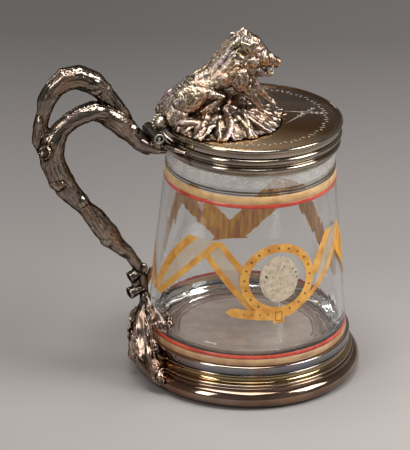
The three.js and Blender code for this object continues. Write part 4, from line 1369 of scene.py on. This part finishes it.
def keep_outside(maker):
    for vert in maker.verts:
        height = vert.co.z / MM
        if height > COLLAR_BOTTOM - 1.1:
            continue
        push_out(vert, root_limit(height))
        vert.co.z = max(vert.co.z, 0.6 * MM)


def make_handle():
    maker = bmesh.new()
    for rows in HANDLE_BRANCHES:
        add_branch(maker, rows, 16)
    for reach, height, near, size in KNOTS:
        add_lump(maker, reach, height, near, size)
    for reach, height, near, size in CURLS:
        add_lump(maker, reach, height, near, size, lumpy=1.1, detail=3)
    for rows, face, lobes in HANDLE_LEAVES:
        add_leaf(maker, rows, face, lobes)
    maker = remeshed("handle", maker, 0.46)
    carve(maker, HANDLE_BRANCHES, bark)
    rough_tops(maker)
    dish_the_stump(maker)
    keep_outside(maker)
    piece = finished("handle_casting", maker, bark_silver, "mug", sharp=180)
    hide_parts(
        "handle_trunk", "handle_upper_branch", "handle_cut_branch", "handle_bud_upper",
        "handle_bud_lower", "handle_twig", "root_near", "root_far", "root_leaf_near", "root_leaf_far")


make_handle()

# %% [markdown]
# Small round parts, such as knuckles and nuts, were turned too, but round axes of their own. The
# helper spins an outline upright and then turns it into its place.

# %% Turned details
TOWARD_NEAR = (0, -1, 0)


def add_turned(maker, outline, spot, axis=TOWARD_NEAR):
    """Spins a small outline of (radius, along) round an axis through the given point."""
    before = set(maker.verts)
    spin_round(maker, [maker.verts.new((radius * MM, 0, along * MM)) for radius, along in outline], 32)
    made = [v for v in maker.verts if v not in before]
    aim = Vector(axis).normalized().to_track_quat("Z", "Y").to_matrix().to_4x4()
    bmesh.ops.transform(maker, matrix=Matrix.Translation(spot) @ aim, verts=made)


print("turned details ready")

# %% [markdown]
# The hinge has three knuckles on one pin: two on the handle, one on the lid. Each end shows a
# turned ring with the round head of the pin in it.

# %% Hinge knuckles and pin
PIN_REACH = 53.5
PIN_HEIGHT = 135.8
KNUCKLE_RADIUS = 3.0
KNUCKLE_INNER = 3.5
KNUCKLE_OUTER = 8.5
MIDDLE_KNUCKLE = 3.2
PIN_SPOT = place(PIN_REACH, PIN_HEIGHT)


def make_hinge():
    maker = bmesh.new()
    length = KNUCKLE_OUTER - KNUCKLE_INNER
    outline = [(0, 0), (KNUCKLE_RADIUS - 0.3, 0), (KNUCKLE_RADIUS, 0.3), (KNUCKLE_RADIUS, length - 0.7)]
    outline += arc(KNUCKLE_RADIUS - 0.6, length - 0.6, 0.6, 0, 180, 8)
    outline += [(1.8, length - 1.4), (0, length - 1.4)]
    for side in (1, -1):
        add_turned(maker, outline, place(PIN_REACH, PIN_HEIGHT, side * KNUCKLE_INNER), (0, -side, 0))
    # The knuckles are dark with tarnish and painted shade.
    piece = finished("hinge_knuckles", maker, barrel_tarnish_and_shade, "mug")


def make_pin():
    """The pin runs through all the knuckles and shows a small round head in each outer ring."""
    maker = bmesh.new()
    head = KNUCKLE_OUTER - 0.6
    outline = [(0, -head - 1.1)] + arc(0, -head, 1.1, -90, 0, 6)[1:] + arc(0, head, 1.1, 0, 90, 6)
    add_turned(maker, outline, PIN_SPOT)
    for side in (1, -1):
        add_turned(maker, arc(2.35, side * KNUCKLE_OUTER, 0.55, 0, 360, 12), PIN_SPOT)
    piece = finished("pin_rod", maker, pin_steel, "mug")
    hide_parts("hinge_pin")


make_hinge()
make_pin()

# %% [markdown]
# A shaped lug joins the arm of the handle to the collar. It rises on each side to carry its
# knuckle, and two straps lie along the collar. It is fused like a casting, then hollowed for the
# collar, the glass and the middle knuckle.

# %% Hinge lug
COLLAR_OUTSIDE = 46.6
KNUCKLE_ROOM = KNUCKLE_RADIUS + 0.4


def clear_of_hinge(vert):
    """Keeps a point of the lug out of the collar, the glass and the way of the middle knuckle."""
    height = vert.co.z / MM
    push_out(vert, COLLAR_OUTSIDE if height > COLLAR_BOTTOM - 0.2 else glass_radius(height) + 0.4)
    near = abs(vert.co.y) / MM
    out = Vector((-vert.co.x / MM - PIN_REACH, height - PIN_HEIGHT))
    if near < KNUCKLE_INNER and out.length < KNUCKLE_ROOM:
        out = out.normalized() * KNUCKLE_ROOM
        vert.co.x, vert.co.z = -(PIN_REACH + out.x) * MM, (PIN_HEIGHT + out.y) * MM


def make_hinge_lug():
    maker = bmesh.new()
    for side in (1, -1):
        add_branch(maker, [
            (53.6, 135, side * 6, 2.6, 2.4), (53.6, 132, side * 5.8, 2.9, 3.4),
            (52.8, 129.4, side * 4.6, 3.4, 3.8),
        ])
        add_branch(maker, [
            (51.2, 131.2, side * 3, 2.6, 1.9), (49.4, 131.4, side * 9, 2.4, 1.7),
            (46.6, 131.6, side * 14.6, 2.2, 1.4), (43.4, 131.6, side * 20, 1.6, 0.8),
        ])
    add_branch(maker, [
        (69, 137.6, 0.2, 2.6, 2.2), (64, 134.4, 0.4, 4.6, 4), (58.6, 131.2, 0.8, 6.6, 3.8),
        (53.6, 129.4, 1, 8.2, 3.6), (49.4, 128.4, 0.6, 7.6, 2.8),
    ])
    maker = remeshed("hinge_lug", maker, 0.4)
    for vert in maker.verts:
        clear_of_hinge(vert)
    piece = finished("hinge_lug", maker, bark_silver, "mug", sharp=180)
    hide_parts("hinge_block")


make_hinge_lug()

# %% [markdown]
# The middle knuckle belongs to the lid, with a flat leaf that runs onto the disc under the boar.

# %% Knuckle of the lid


def make_lid_knuckle():
    maker = bmesh.new()
    half = MIDDLE_KNUCKLE
    side = [(0, half), (2.7, half), (KNUCKLE_RADIUS, half - 0.3)]
    add_turned(maker, [(r, -along) for r, along in side] + side[::-1], PIN_SPOT)
    add_branch(maker, [
        (54.6, 136.6, 0, half - 0.1, 1.6), (52, 138.2, 0, half - 0.1, 1.4), (48, 139.2, 0, 3.6, 0.9),
        (42, 139.3, 0, 4.4, 0.8), (36.5, 139.2, 0, 3, 0.7),
    ])
    # The middle knuckle is dark with tarnish and painted shade.
    piece = finished("lid_knuckle", maker, barrel_tarnish_and_shade, "lid")
    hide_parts("lid_hinge_leaf")


make_lid_knuckle()

# %% [markdown]
# The thumb piece is an acorn: a smooth round nut in a cup with a beaded rim. A row of tiny beads is
# a few faces each, placed in a loop round the rim.

# %% Thumb acorn
ACORN = {"reach": 50.0, "height": 141.8, "rim": 0.6}


def add_beads(maker, count, radius, near, size, start=0.0):
    for k in range(count):
        way = 2 * math.pi * (k + start) / count
        reach = ACORN["reach"] + radius * math.cos(way)
        add_lump(maker, reach, ACORN["height"] + radius * math.sin(way), near, size, detail=1)


def make_nut():
    maker = bmesh.new()
    outline = [(0, -2.6), (2.2, -2.4)] + arc(0.2, 1.2, 3.5, -50, 78, 12) + [(0.3, 4.9), (0, 5.0)]
    add_turned(maker, outline, place(ACORN["reach"], ACORN["height"], ACORN["rim"] - 0.4))
    piece = finished("thumb_nut", maker, bright_silver, "lid", sharp=60)
    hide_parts("thumb_acorn")


def make_cup():
    maker = bmesh.new()
    outline = [(0, -4.2), (1.8, -4.0), (3.4, -2.8), (4.2, -1.0), (4.4, 0.2), (4.0, 0.5), (3.7, 0.2)]
    outline += [(3.4, -0.8), (0, -1.0)]
    add_turned(maker, outline, place(ACORN["reach"], ACORN["height"], ACORN["rim"]))
    add_beads(maker, 16, 4.2, ACORN["rim"] + 0.3, 0.8)
    add_beads(maker, 14, 3.7, ACORN["rim"] - 1.4, 0.7, start=0.5)
    piece = finished("thumb_cup_beaded", maker, cast_silver, "lid", sharp=60)
    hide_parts("thumb_cup")


make_nut()
make_cup()

# %% [markdown]
# The boar sits on its haunches, with its head raised. Each limb is a branch again: body, head, jaw,
# legs, ears and tusks. The far hind leg is a mirror of the near one, set lower on the rocks.

# %% Limbs of the boar
BOAR_BODY = [
    (48.6, 145, 0, 4.2, 3.4), (45.6, 146.8, 0, 7.6, 5.6), (41.2, 149.6, 0, 9.2, 6.2),
    (36.2, 154.8, 0, 8.8, 5.6), (31.6, 158.4, 0, 8.6, 5.6), (26, 160.2, 0, 8.6, 4.8),
    (19.5, 162.6, 0, 9, 7), (13, 165.4, 0, 9.2, 10.2), (8, 170, 0, 7.9, 11),
    (4.4, 174.2, 0, 5.8, 8.8),
]
BOAR_HEAD = [
    (10.5, 175.4, 0, 5.2, 6.8), (6, 175.4, 0, 6.7, 9.9), (1.5, 173.8, 0, 6.1, 8.6),
    (-2.5, 171, 0, 4.8, 6.4), (-6.2, 168.6, 0, 3.7, 4.5), (-10, 166.9, 0, 3, 3.3),
    (-12.2, 166, 0, 2.6, 2.6), (-13.8, 165.5, 0, 2.9, 2.6),
]
BOAR_JAW = [
    (3, 165.4, 0, 4.6, 4.4), (-2, 162.9, 0, 3.4, 3), (-5.6, 161, 0, 2.4, 1.7),
    (-8.8, 160.2, 0, 1.9, 1.3), (-11.2, 160.6, 0, 1.6, 1),
]
BOAR_RIDGE = [
    (-5.4, 173.4, 0, 1.2, 1.2), (-1.2, 177.6, 0, 1.8, 2), (4.6, 184, 0, 2.2, 2.2),
    (12.2, 178.8, 0, 2.2, 2.2), (18.4, 171.4, 0, 2, 2.2), (23.6, 166.2, 0, 1.8, 2.2),
    (31, 162.8, 0, 1.4, 2.2),
]
FORE_NEAR = [
    (7.5, 158, 5, 4.2, 5), (2.8, 152, 5.8, 2.6, 3), (-1, 146.6, 5.8, 1.9, 2.1),
    (-4.2, 142, 5.6, 1.7, 1.8), (-5.8, 139.8, 5.6, 2.2, 2.2),
]
FORE_FAR = [
    (6.5, 158, -5, 4, 4.8), (-3.6, 152.8, -5.8, 2.4, 2.6), (-8.2, 147.2, -6, 1.9, 2),
    (-12.4, 142.6, -6, 1.6, 1.7), (-14.8, 139.8, -6, 2.1, 2.1),
]
CHEST = [(4.4, 166, 0, 6.6, 6), (2.8, 161, 0, 5.6, 5), (4.6, 156.6, 0, 4.6, 3.6)]
TAIL = [
    (44.6, 150.6, 3.4, 1.3), (47.6, 149.2, 4.4, 1), (48.8, 146, 5.4, 0.8), (47.4, 143.4, 6.6, 1.2),
]


def both_sides(rows, drop=0):
    """The same limb on the near and on the far side, where it may lie lower by drop."""
    sides = ((1, 0), (-1, drop))
    return [[(r, h - low, side * n, *sizes) for r, h, n, *sizes in rows] for side, low in sides]


FAR_DROP = 5.3
THIGHS = both_sides([
    (44.4, 151.4, 7.2, 2.8, 4), (41.2, 153.6, 7.4, 4, 6.6), (37.6, 154.6, 7.4, 4.4, 7.4),
    (34, 155.6, 7.4, 4.2, 6.6), (30.6, 156.4, 7.6, 3.6, 4.4),
], FAR_DROP)
SHANKS = both_sides([
    (34, 157.6, 7.2, 4, 4.4), (27.4, 157.4, 8.8, 3.2, 3), (20.8, 154.6, 9.2, 2.3, 2.3),
    (25.6, 151.4, 9.4, 1.9, 1.9), (31, 148.4, 9.6, 2, 2), (27.4, 144.2, 10.2, 1.7, 1.7),
    (24, 141.2, 10.6, 1.9, 1.9),
], FAR_DROP)
RUMPS = both_sides([
    (49, 145.4, 6, 3, 3.4), (45.8, 146.2, 6.2, 5, 6.2), (41.8, 146.6, 6.2, 5.2, 6.6),
    (38.4, 146.4, 6.2, 3.6, 4.4),
], FAR_DROP / 3)
EARS = both_sides([
    (3.4, 175.8, 5, 1.8, 2.4), (5.6, 178, 6.6, 1.5, 2.6), (7.8, 180.2, 7.2, 1, 2),
    (10, 182, 7, 0.5, 0.6),
])
TUSKS = both_sides([(-7.6, 161.8, 1.8, 0.9), (-9, 163.4, 2.8, 0.7), (-9.8, 165.4, 3, 0.4)])
BOAR_LIMBS = [BOAR_BODY, BOAR_HEAD, BOAR_JAW, BOAR_RIDGE, CHEST, FORE_NEAR, FORE_FAR, TAIL]
BOAR_LIMBS += [*THIGHS, *SHANKS, *RUMPS, *EARS, *TUSKS]
print("limbs of the boar:", len(BOAR_LIMBS))

# %% [markdown]
# The hair is crumpled on the body and lies in short locks along each limb, so it is carved by noise
# that follows the limb. Locks of bristle stand side by side along the crest and lean back, and
# fine bright ones are combed over the brow, where fingers wear the casting white.

# %% Hair, mane and comb
MANE_LOCKS = 40
COMB_LOCKS = 15


def fur(run, round_it, spot, size, side_share):
    """Depth of the hair: folds on the thick body, short locks along the limbs, curls all over."""
    locks = noise.noise(Vector((math.cos(round_it) * 2.2, math.sin(round_it) * 2.2, run * 0.22)))
    folds = max(1 - abs(noise.noise(spot * 0.2)) * 4, 0)
    crumple = noise.noise(spot * 0.34)
    pleats = max(1 - abs(noise.noise(spot * 0.5 + Vector((9, 4, 2)))) * 5, 0)
    deep = 0.6 * locks + 0.4 * folds + 0.6 * crumple + 0.4 * pleats
    return deep * min(size / 8, 1) + 0.3 * noise.noise(spot * 0.6) + 0.12 * locks * side_share


def add_mane(maker):
    for k in range(MANE_LOCKS):
        share = k / (MANE_LOCKS - 1) * (len(BOAR_RIDGE) - 1.001)
        low = int(share)
        one, two = BOAR_RIDGE[low], BOAR_RIDGE[low + 1]
        reach, height = [one[i] + (two[i] - one[i]) * (share - low) for i in (0, 1)]
        long = 1.7 + 0.9 * noise.noise(Vector((k * 0.7, 3.1, 0)))
        for side in (-1, 1):
            add_branch(maker, [
                (reach - 0.6, height + 1.0, side * 0.5, 0.8),
                (reach + long * 0.4, height + 1.5, side * 1.8, 0.9),
                (reach + long, height + 0.2, side * 3.6, 0.8),
                (reach + long * 1.5, height - 2.4, side * 5.0, 0.35),
            ], 6)


def make_comb():
    maker = bmesh.new()
    for k in range(COMB_LOCKS):
        share = k / (COMB_LOCKS - 1)
        reach = -6.0 + 10.5 * share
        height = 173.3 + 10.9 * share
        sway = 0.5 * math.sin(5 * k)
        for side in (-1, 1):
            add_branch(maker, [
                (reach - 0.6, height + 0.9, side * 0.6, 0.5),
                (reach + 0.4 + sway, height + 0.3, side * 2.6, 0.7),
                (reach + 1.8 + sway, height - 1.4, side * 4.6, 0.6),
                (reach + 3.0 + sway, height - 3.4, side * 5.8, 0.25),
            ], 6)
    piece = finished("boar_comb", maker, cut_silver, "lid", sharp=180)


print("hair ready")

# %% [markdown]
# Body, limbs, mane, brows and cheeks are fused into one skin, and the hair is carved. What would
# reach into the lid, the acorn or the room for the handle's arm is flattened there.

# %% Boar casting
ARM_ROOM = {"reach": 50.4, "near": 6.8}
ACORN_ROOM = {"size": 5.2, "far": -4.5, "near": 6, "from_reach": 44}
CAST_BOTTOM = LID_TOP + 0.9
HEAD_LUMPS = [
    (-0.8, 176.4, 4.8, (2.8, 1.6, 1.2)), (-0.4, 173.2, 5.4, (1.3, 1.0, 1.1)),
    (3.4, 169.6, 5.6, (3.8, 1.8, 3.4)), (10.0, 162.0, 7.4, (5.4, 3.4, 6.6)),
]


def stand_clear(maker):
    for vert in maker.verts:
        vert.co.z = max(vert.co.z, CAST_BOTTOM * MM)
        if vert.co.x < -ARM_ROOM["reach"] * MM and abs(vert.co.y) < ARM_ROOM["near"] * MM:
            vert.co.x = -ARM_ROOM["reach"] * MM
        away = Vector((-vert.co.x / MM - ACORN["reach"], vert.co.z / MM - ACORN["height"]))
        beside = ACORN_ROOM["far"] < -vert.co.y / MM < ACORN_ROOM["near"]
        if away.length < ACORN_ROOM["size"] and beside and vert.co.x < -ACORN_ROOM["from_reach"] * MM:
            vert.co.x = -(ACORN["reach"] - ACORN_ROOM["size"]) * MM


def make_boar():
    maker = bmesh.new()
    for rows in BOAR_LIMBS:
        add_branch(maker, rows, 14)
    add_mane(maker)
    for side in (1, -1):
        for reach, height, near, sizes in HEAD_LUMPS:
            add_lump(maker, reach, height, side * near, sizes)
    maker = remeshed("boar", maker, 0.38)
    carve(maker, BOAR_LIMBS, fur)
    stand_clear(maker)
    piece = finished("boar_casting", maker, cast_silver, "lid", sharp=180)
    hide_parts("boar_figure")


make_boar()
make_comb()

# %% [markdown]
# The ground under the boar is rocky. It is spun as a low round mound with a raised wall, stretched
# to an oval that stays on the lid, and heaped with broken rocks.

# %% Shape of the ground
MOUND = {"reach": 16.5, "near": 2.0, "half_reach": 31.0, "half_near": 27.0, "bottom": LID_TOP + 0.3}
ROCKS = [
    (30, 143, 3, (6.5, 5, 5)), (22, 143.6, -2, (6, 6, 5.4)), (14, 143.4, 3, (5.5, 5, 5)),
    (9, 143, 9.5, (4, 3.2, 3.4)), (3, 141.6, 10.5, (3.6, 3, 2.8)), (17, 142.6, 10, (4.4, 3, 3.6)),
    (-2, 140.6, 11.5, (3.4, 2.6, 2.2)), (-6, 140.4, 3, (4, 3.4, 2.4)),
    (-11, 140, 5.5, (3.4, 3, 1.8)), (-8.5, 140.2, -2, (4.2, 4, 2.6)), (43, 143, -9, (4, 5, 5.6)),
    (38, 142.4, -14, (5, 4.6, 5)), (30, 142, -16, (6, 5, 4.6)), (20, 141.6, -15, (6, 5, 4.4)),
    (9, 141.2, -13, (6, 5, 4)), (44.6, 142, 8.6, (2.8, 3.6, 3.6)), (0, 140.6, -12, (5, 4.6, 3.2)),
    (6, 142, 0, (5, 5, 4)), (19, 145, -2, (8.6, 4.6, 9)), (9.5, 143.6, -2, (6.4, 4.4, 6.8)),
    (14, 146, 1, (3.6, 3, 5)),
]
SLAB = [
    (46.6, 143.8, 8.6, 2, 2.2), (41, 144.8, 10.6, 3.4, 2), (34, 144.4, 12, 3.6, 1.8),
    (27.5, 143.2, 12.6, 2, 1.4),
]


def mound_spot(turn_at, share):
    reach = MOUND["reach"] + MOUND["half_reach"] * share * math.cos(turn_at)
    near = MOUND["near"] + MOUND["half_near"] * share * math.sin(turn_at)
    limit = min(1, (LID_RADIUS - 2) / max(math.hypot(reach, near), 1))
    return reach * limit, near * limit


def mound_height(turn_at, share):
    wall = 3.4 * math.exp(-((share - 0.5) / 0.22) ** 2) * (0.55 + 0.45 * math.sin(turn_at))
    return MOUND["bottom"] + 0.4 + 4.4 * (1 - share) + 1.2 * (1 - share ** 4) + wall


def add_mound_body(maker):
    """Spins steps of the mound, then sets each point at the height for its way and share."""
    shares = [0.0, 0.15, 0.3, 0.45, 0.6, 0.75, 0.9, 1.0]
    outline = [(share, k) for k, share in enumerate(shares)] + [(1.0, -1), (0.0, -1)]
    spin_round(maker, [maker.verts.new((share, 0, k)) for share, k in outline], 64)
    for vert in maker.verts:
        share = min(math.hypot(vert.co.x, vert.co.y), 1)
        way = math.atan2(vert.co.y, vert.co.x)
        reach, near = mound_spot(way, share)
        height = mound_height(way, share) if vert.co.z > -0.5 else MOUND["bottom"]
        vert.co = place(reach, height, near)
    bmesh.ops.remove_doubles(maker, verts=maker.verts, dist=1e-6)


print("rocks:", len(ROCKS), "highest ground", round(mound_height(0, 0), 1))

# %% [markdown]
# Long leaves hang over the near edge of the ground to the lid, and behind the boar ridged blades
# lie nearly flat. Both follow the slope of the mound, each with its own slack.

# %% Leaves of the ground
HANGING = ((0.44, 0.4, 1.2), (0.56, 1.4, 2.4), (0.72, 1.7, 3.4), (0.88, 1.2, 3.4), (1.03, 0.3, 1.8))


def fan(first, last, count):
    """Evenly spaced ways in radians, from first to last in degrees."""
    return [math.radians(first + (last - first) * k / (count - 1)) for k in range(count)]


def add_hanging_leaves(maker, first, last, count):
    for k, straight in enumerate(fan(first, last, count)):
        way = straight + 0.03 * math.sin(11 * k)
        slack = 1 + 0.25 * math.sin(7 * k)
        rows = []
        for share, rise, width in HANGING:
            reach, near = mound_spot(way + 0.09 * math.sin(9 * k + 5 * share), share)
            height = mound_height(way, min(share, 1)) + rise * slack
            rows.append((reach, height, near, width * slack, 1.1))
        add_branch(maker, rows, 8)


def add_flat_blades(maker, first, last, count):
    for k, way in enumerate(fan(first, last, count)):
        rows = []
        long = 1.02 + 0.1 * math.sin(5 * k)
        for share, rise, width in ((0.4, 1.4, 1.6), (0.6, 1.8, 3.2), (0.8, 1.4, 3.4), (long, 0.8, 0.8)):
            reach, near = mound_spot(way, share)
            height = mound_height(way, min(share, 1)) + rise
            rows.append((reach, height, near, width))
        add_leaf(maker, rows, (0.2, -0.2, 1), lobes=2, cup=-0.3, thick=1.0, fold=0.9)


print("leaves of the ground ready")

# %% [markdown]
# Ground, rocks and leaves are fused like the other castings, crumpled by noise, and kept clear of
# the lid, the acorn and the handle's arm.

# %% Mound casting
MOUND_REACH = LID_RADIUS + 0.6
CRUMPLE = ((0.6, 0.3), (0.3, 0.6), (0.1, 1.1))


def add_small_rocks(maker):
    for k in range(9):
        reach, near = mound_spot(math.radians(36 + 11 * k), 0.62 + 0.2 * math.sin(5 * k))
        sizes = (2.4 + 0.8 * math.sin(3 * k), 1.6, 1.8)
        add_lump(maker, reach, MOUND["bottom"] + 4.4 + math.sin(4 * k), near, sizes, lumpy=0.6)


def rocky(maker):
    maker.normal_update()
    for vert in maker.verts:
        spot = vert.co / MM
        crumple = sum(share * noise.noise(spot * scale) for share, scale in CRUMPLE)
        vert.co += vert.normal * crumple * MM


def stay_on_lid(maker):
    for vert in maker.verts:
        radius = math.hypot(vert.co.x, vert.co.y) / MM
        if radius > MOUND_REACH:
            vert.co.x *= MOUND_REACH / radius
            vert.co.y *= MOUND_REACH / radius
        vert.co.z = max(vert.co.z, (LID_TOP + 0.05) * MM)


def make_mound():
    maker = bmesh.new()
    add_mound_body(maker)
    for reach, height, near, sizes in ROCKS:
        add_lump(maker, reach, height, near, sizes, lumpy=0.5)
    add_branch(maker, SLAB, 8)
    add_small_rocks(maker)
    add_hanging_leaves(maker, 30, 116, 9)
    add_hanging_leaves(maker, -130, -30, 10)
    add_flat_blades(maker, 128, 216, 7)
    maker = remeshed("mound", maker, 0.42)
    rocky(maker)
    stand_clear(maker)
    stay_on_lid(maker)
    piece = finished("mound_casting", maker, mound_silver, "lid", sharp=180)
    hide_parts("lid_mound")


make_mound()

# %% [markdown]
# The floor is one wide plain sheet, palest round the mug and darker behind and to the left. That
# falloff of the studio light is painted shade in the floor's colour, not made by the lamps. A Mapping
# node turns the pattern with the camera and centres it.

# %% Floor
FLOOR_SIZE = 4
# Painted falloff of the studio light: the floor darkens away from the mug.
SWEEP_PAINTED_FALLOFF = [
    (0.24, 150, 144, 141), (0.36, 162, 156, 153), (0.46, 164, 158, 155), (0.62, 144, 139, 136),
    (0.98, 100, 96, 94),
]


def sweep_with_painted_light():
    material, tree, shader = new_material("sweep_with_painted_light")
    mapping = add_node(tree, "ShaderNodeMapping", {
        "Vector": own_place(tree), "Rotation": (0, 0, math.radians(-CAMERA_ROUND)),
        "Location": (0.5, 0.5, 0)})
    spot = x_y_z(tree, mapping.outputs["Vector"])
    # Painted shade: darker away from the mug and toward the left.
    away = tint_ramp(tree, spot["Y"], SWEEP_PAINTED_FALLOFF)
    sideways = fade(tree, spot["X"], 0.38, 0.62, 0.78, 1)
    fill(tree, shader, {"Base Color": times(tree, away, sideways), "Roughness": 0.9})
    return material


def make_floor():
    maker = bmesh.new()
    bmesh.ops.create_grid(maker, x_segments=1, y_segments=1, size=FLOOR_SIZE)
    mesh = bpy.data.meshes.new("floor")
    maker.to_mesh(mesh)
    maker.free()
    mesh.materials.append(sweep_with_painted_light())
    floor = bpy.data.objects.new("floor", mesh)
    bpy.context.scene.collection.objects.link(floor)
    return floor


floor = make_floor()
print("floor:", [round(side, 1) for side in floor.dimensions])

# %% [markdown]
# Soft studio light: one broad lamp from the right and front, a long one above, a weaker one from
# the left, and a faint one behind. The room itself glows a quiet grey, which the metal mirrors as
# its middle tones.

# %% Lamps and room
MIDDLE = (0, 0, 0.08)


def soft_lamp(name, spot, size, power):
    lamp = bpy.data.objects.new(name, bpy.data.lights.new(name, "AREA"))
    bpy.context.scene.collection.objects.link(lamp)
    lamp.data.shape = "RECTANGLE"
    lamp.data.size, lamp.data.size_y = size
    lamp.data.energy = power
    lamp.location = spot
    lamp.rotation_mode = "QUATERNION"
    lamp.rotation_quaternion = (Vector(MIDDLE) - Vector(spot)).to_track_quat("-Z", "Y")


def make_room():
    world = bpy.data.worlds.new("room")
    bpy.context.scene.world = world
    world.use_nodes = True
    background = next(n for n in world.node_tree.nodes if n.type == "BACKGROUND")
    fill(world.node_tree, background, {"Color": tone(122, 119, 116), "Strength": 0.9})


soft_lamp("key_lamp", (0.85, -0.55, 0.95), (0.6, 0.6), 13)
soft_lamp("top_lamp", (-0.1, -0.05, 1.2), (0.9, 0.5), 12)
soft_lamp("side_lamp", (-1.0, -0.5, 0.7), (0.3, 0.8), 5)
soft_lamp("rim_lamp", (-0.5, 1.0, 0.5), (0.3, 0.5), 1.5)
make_room()

# %% [markdown]
# What is left of the engineering model keeps its own shape and only gets its finish.

# %% Finishes of the remaining pieces
FINISHES = {
    "foot_plaster": plaster, "rim_cement": plaster, "foot_base_plate": turned_silver,
    "lid_flange": turned_silver,
    "figure_screw_front": pin_steel, "figure_screw_rear": pin_steel,
}
for name, material in FINISHES.items():
    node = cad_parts[name]
    node.data.materials.clear()
    node.data.materials.append(material)
print("finished as they are:", ", ".join(FINISHES))

# %% View transform and end
scene = bpy.context.scene
scene.view_settings.view_transform = "Standard"
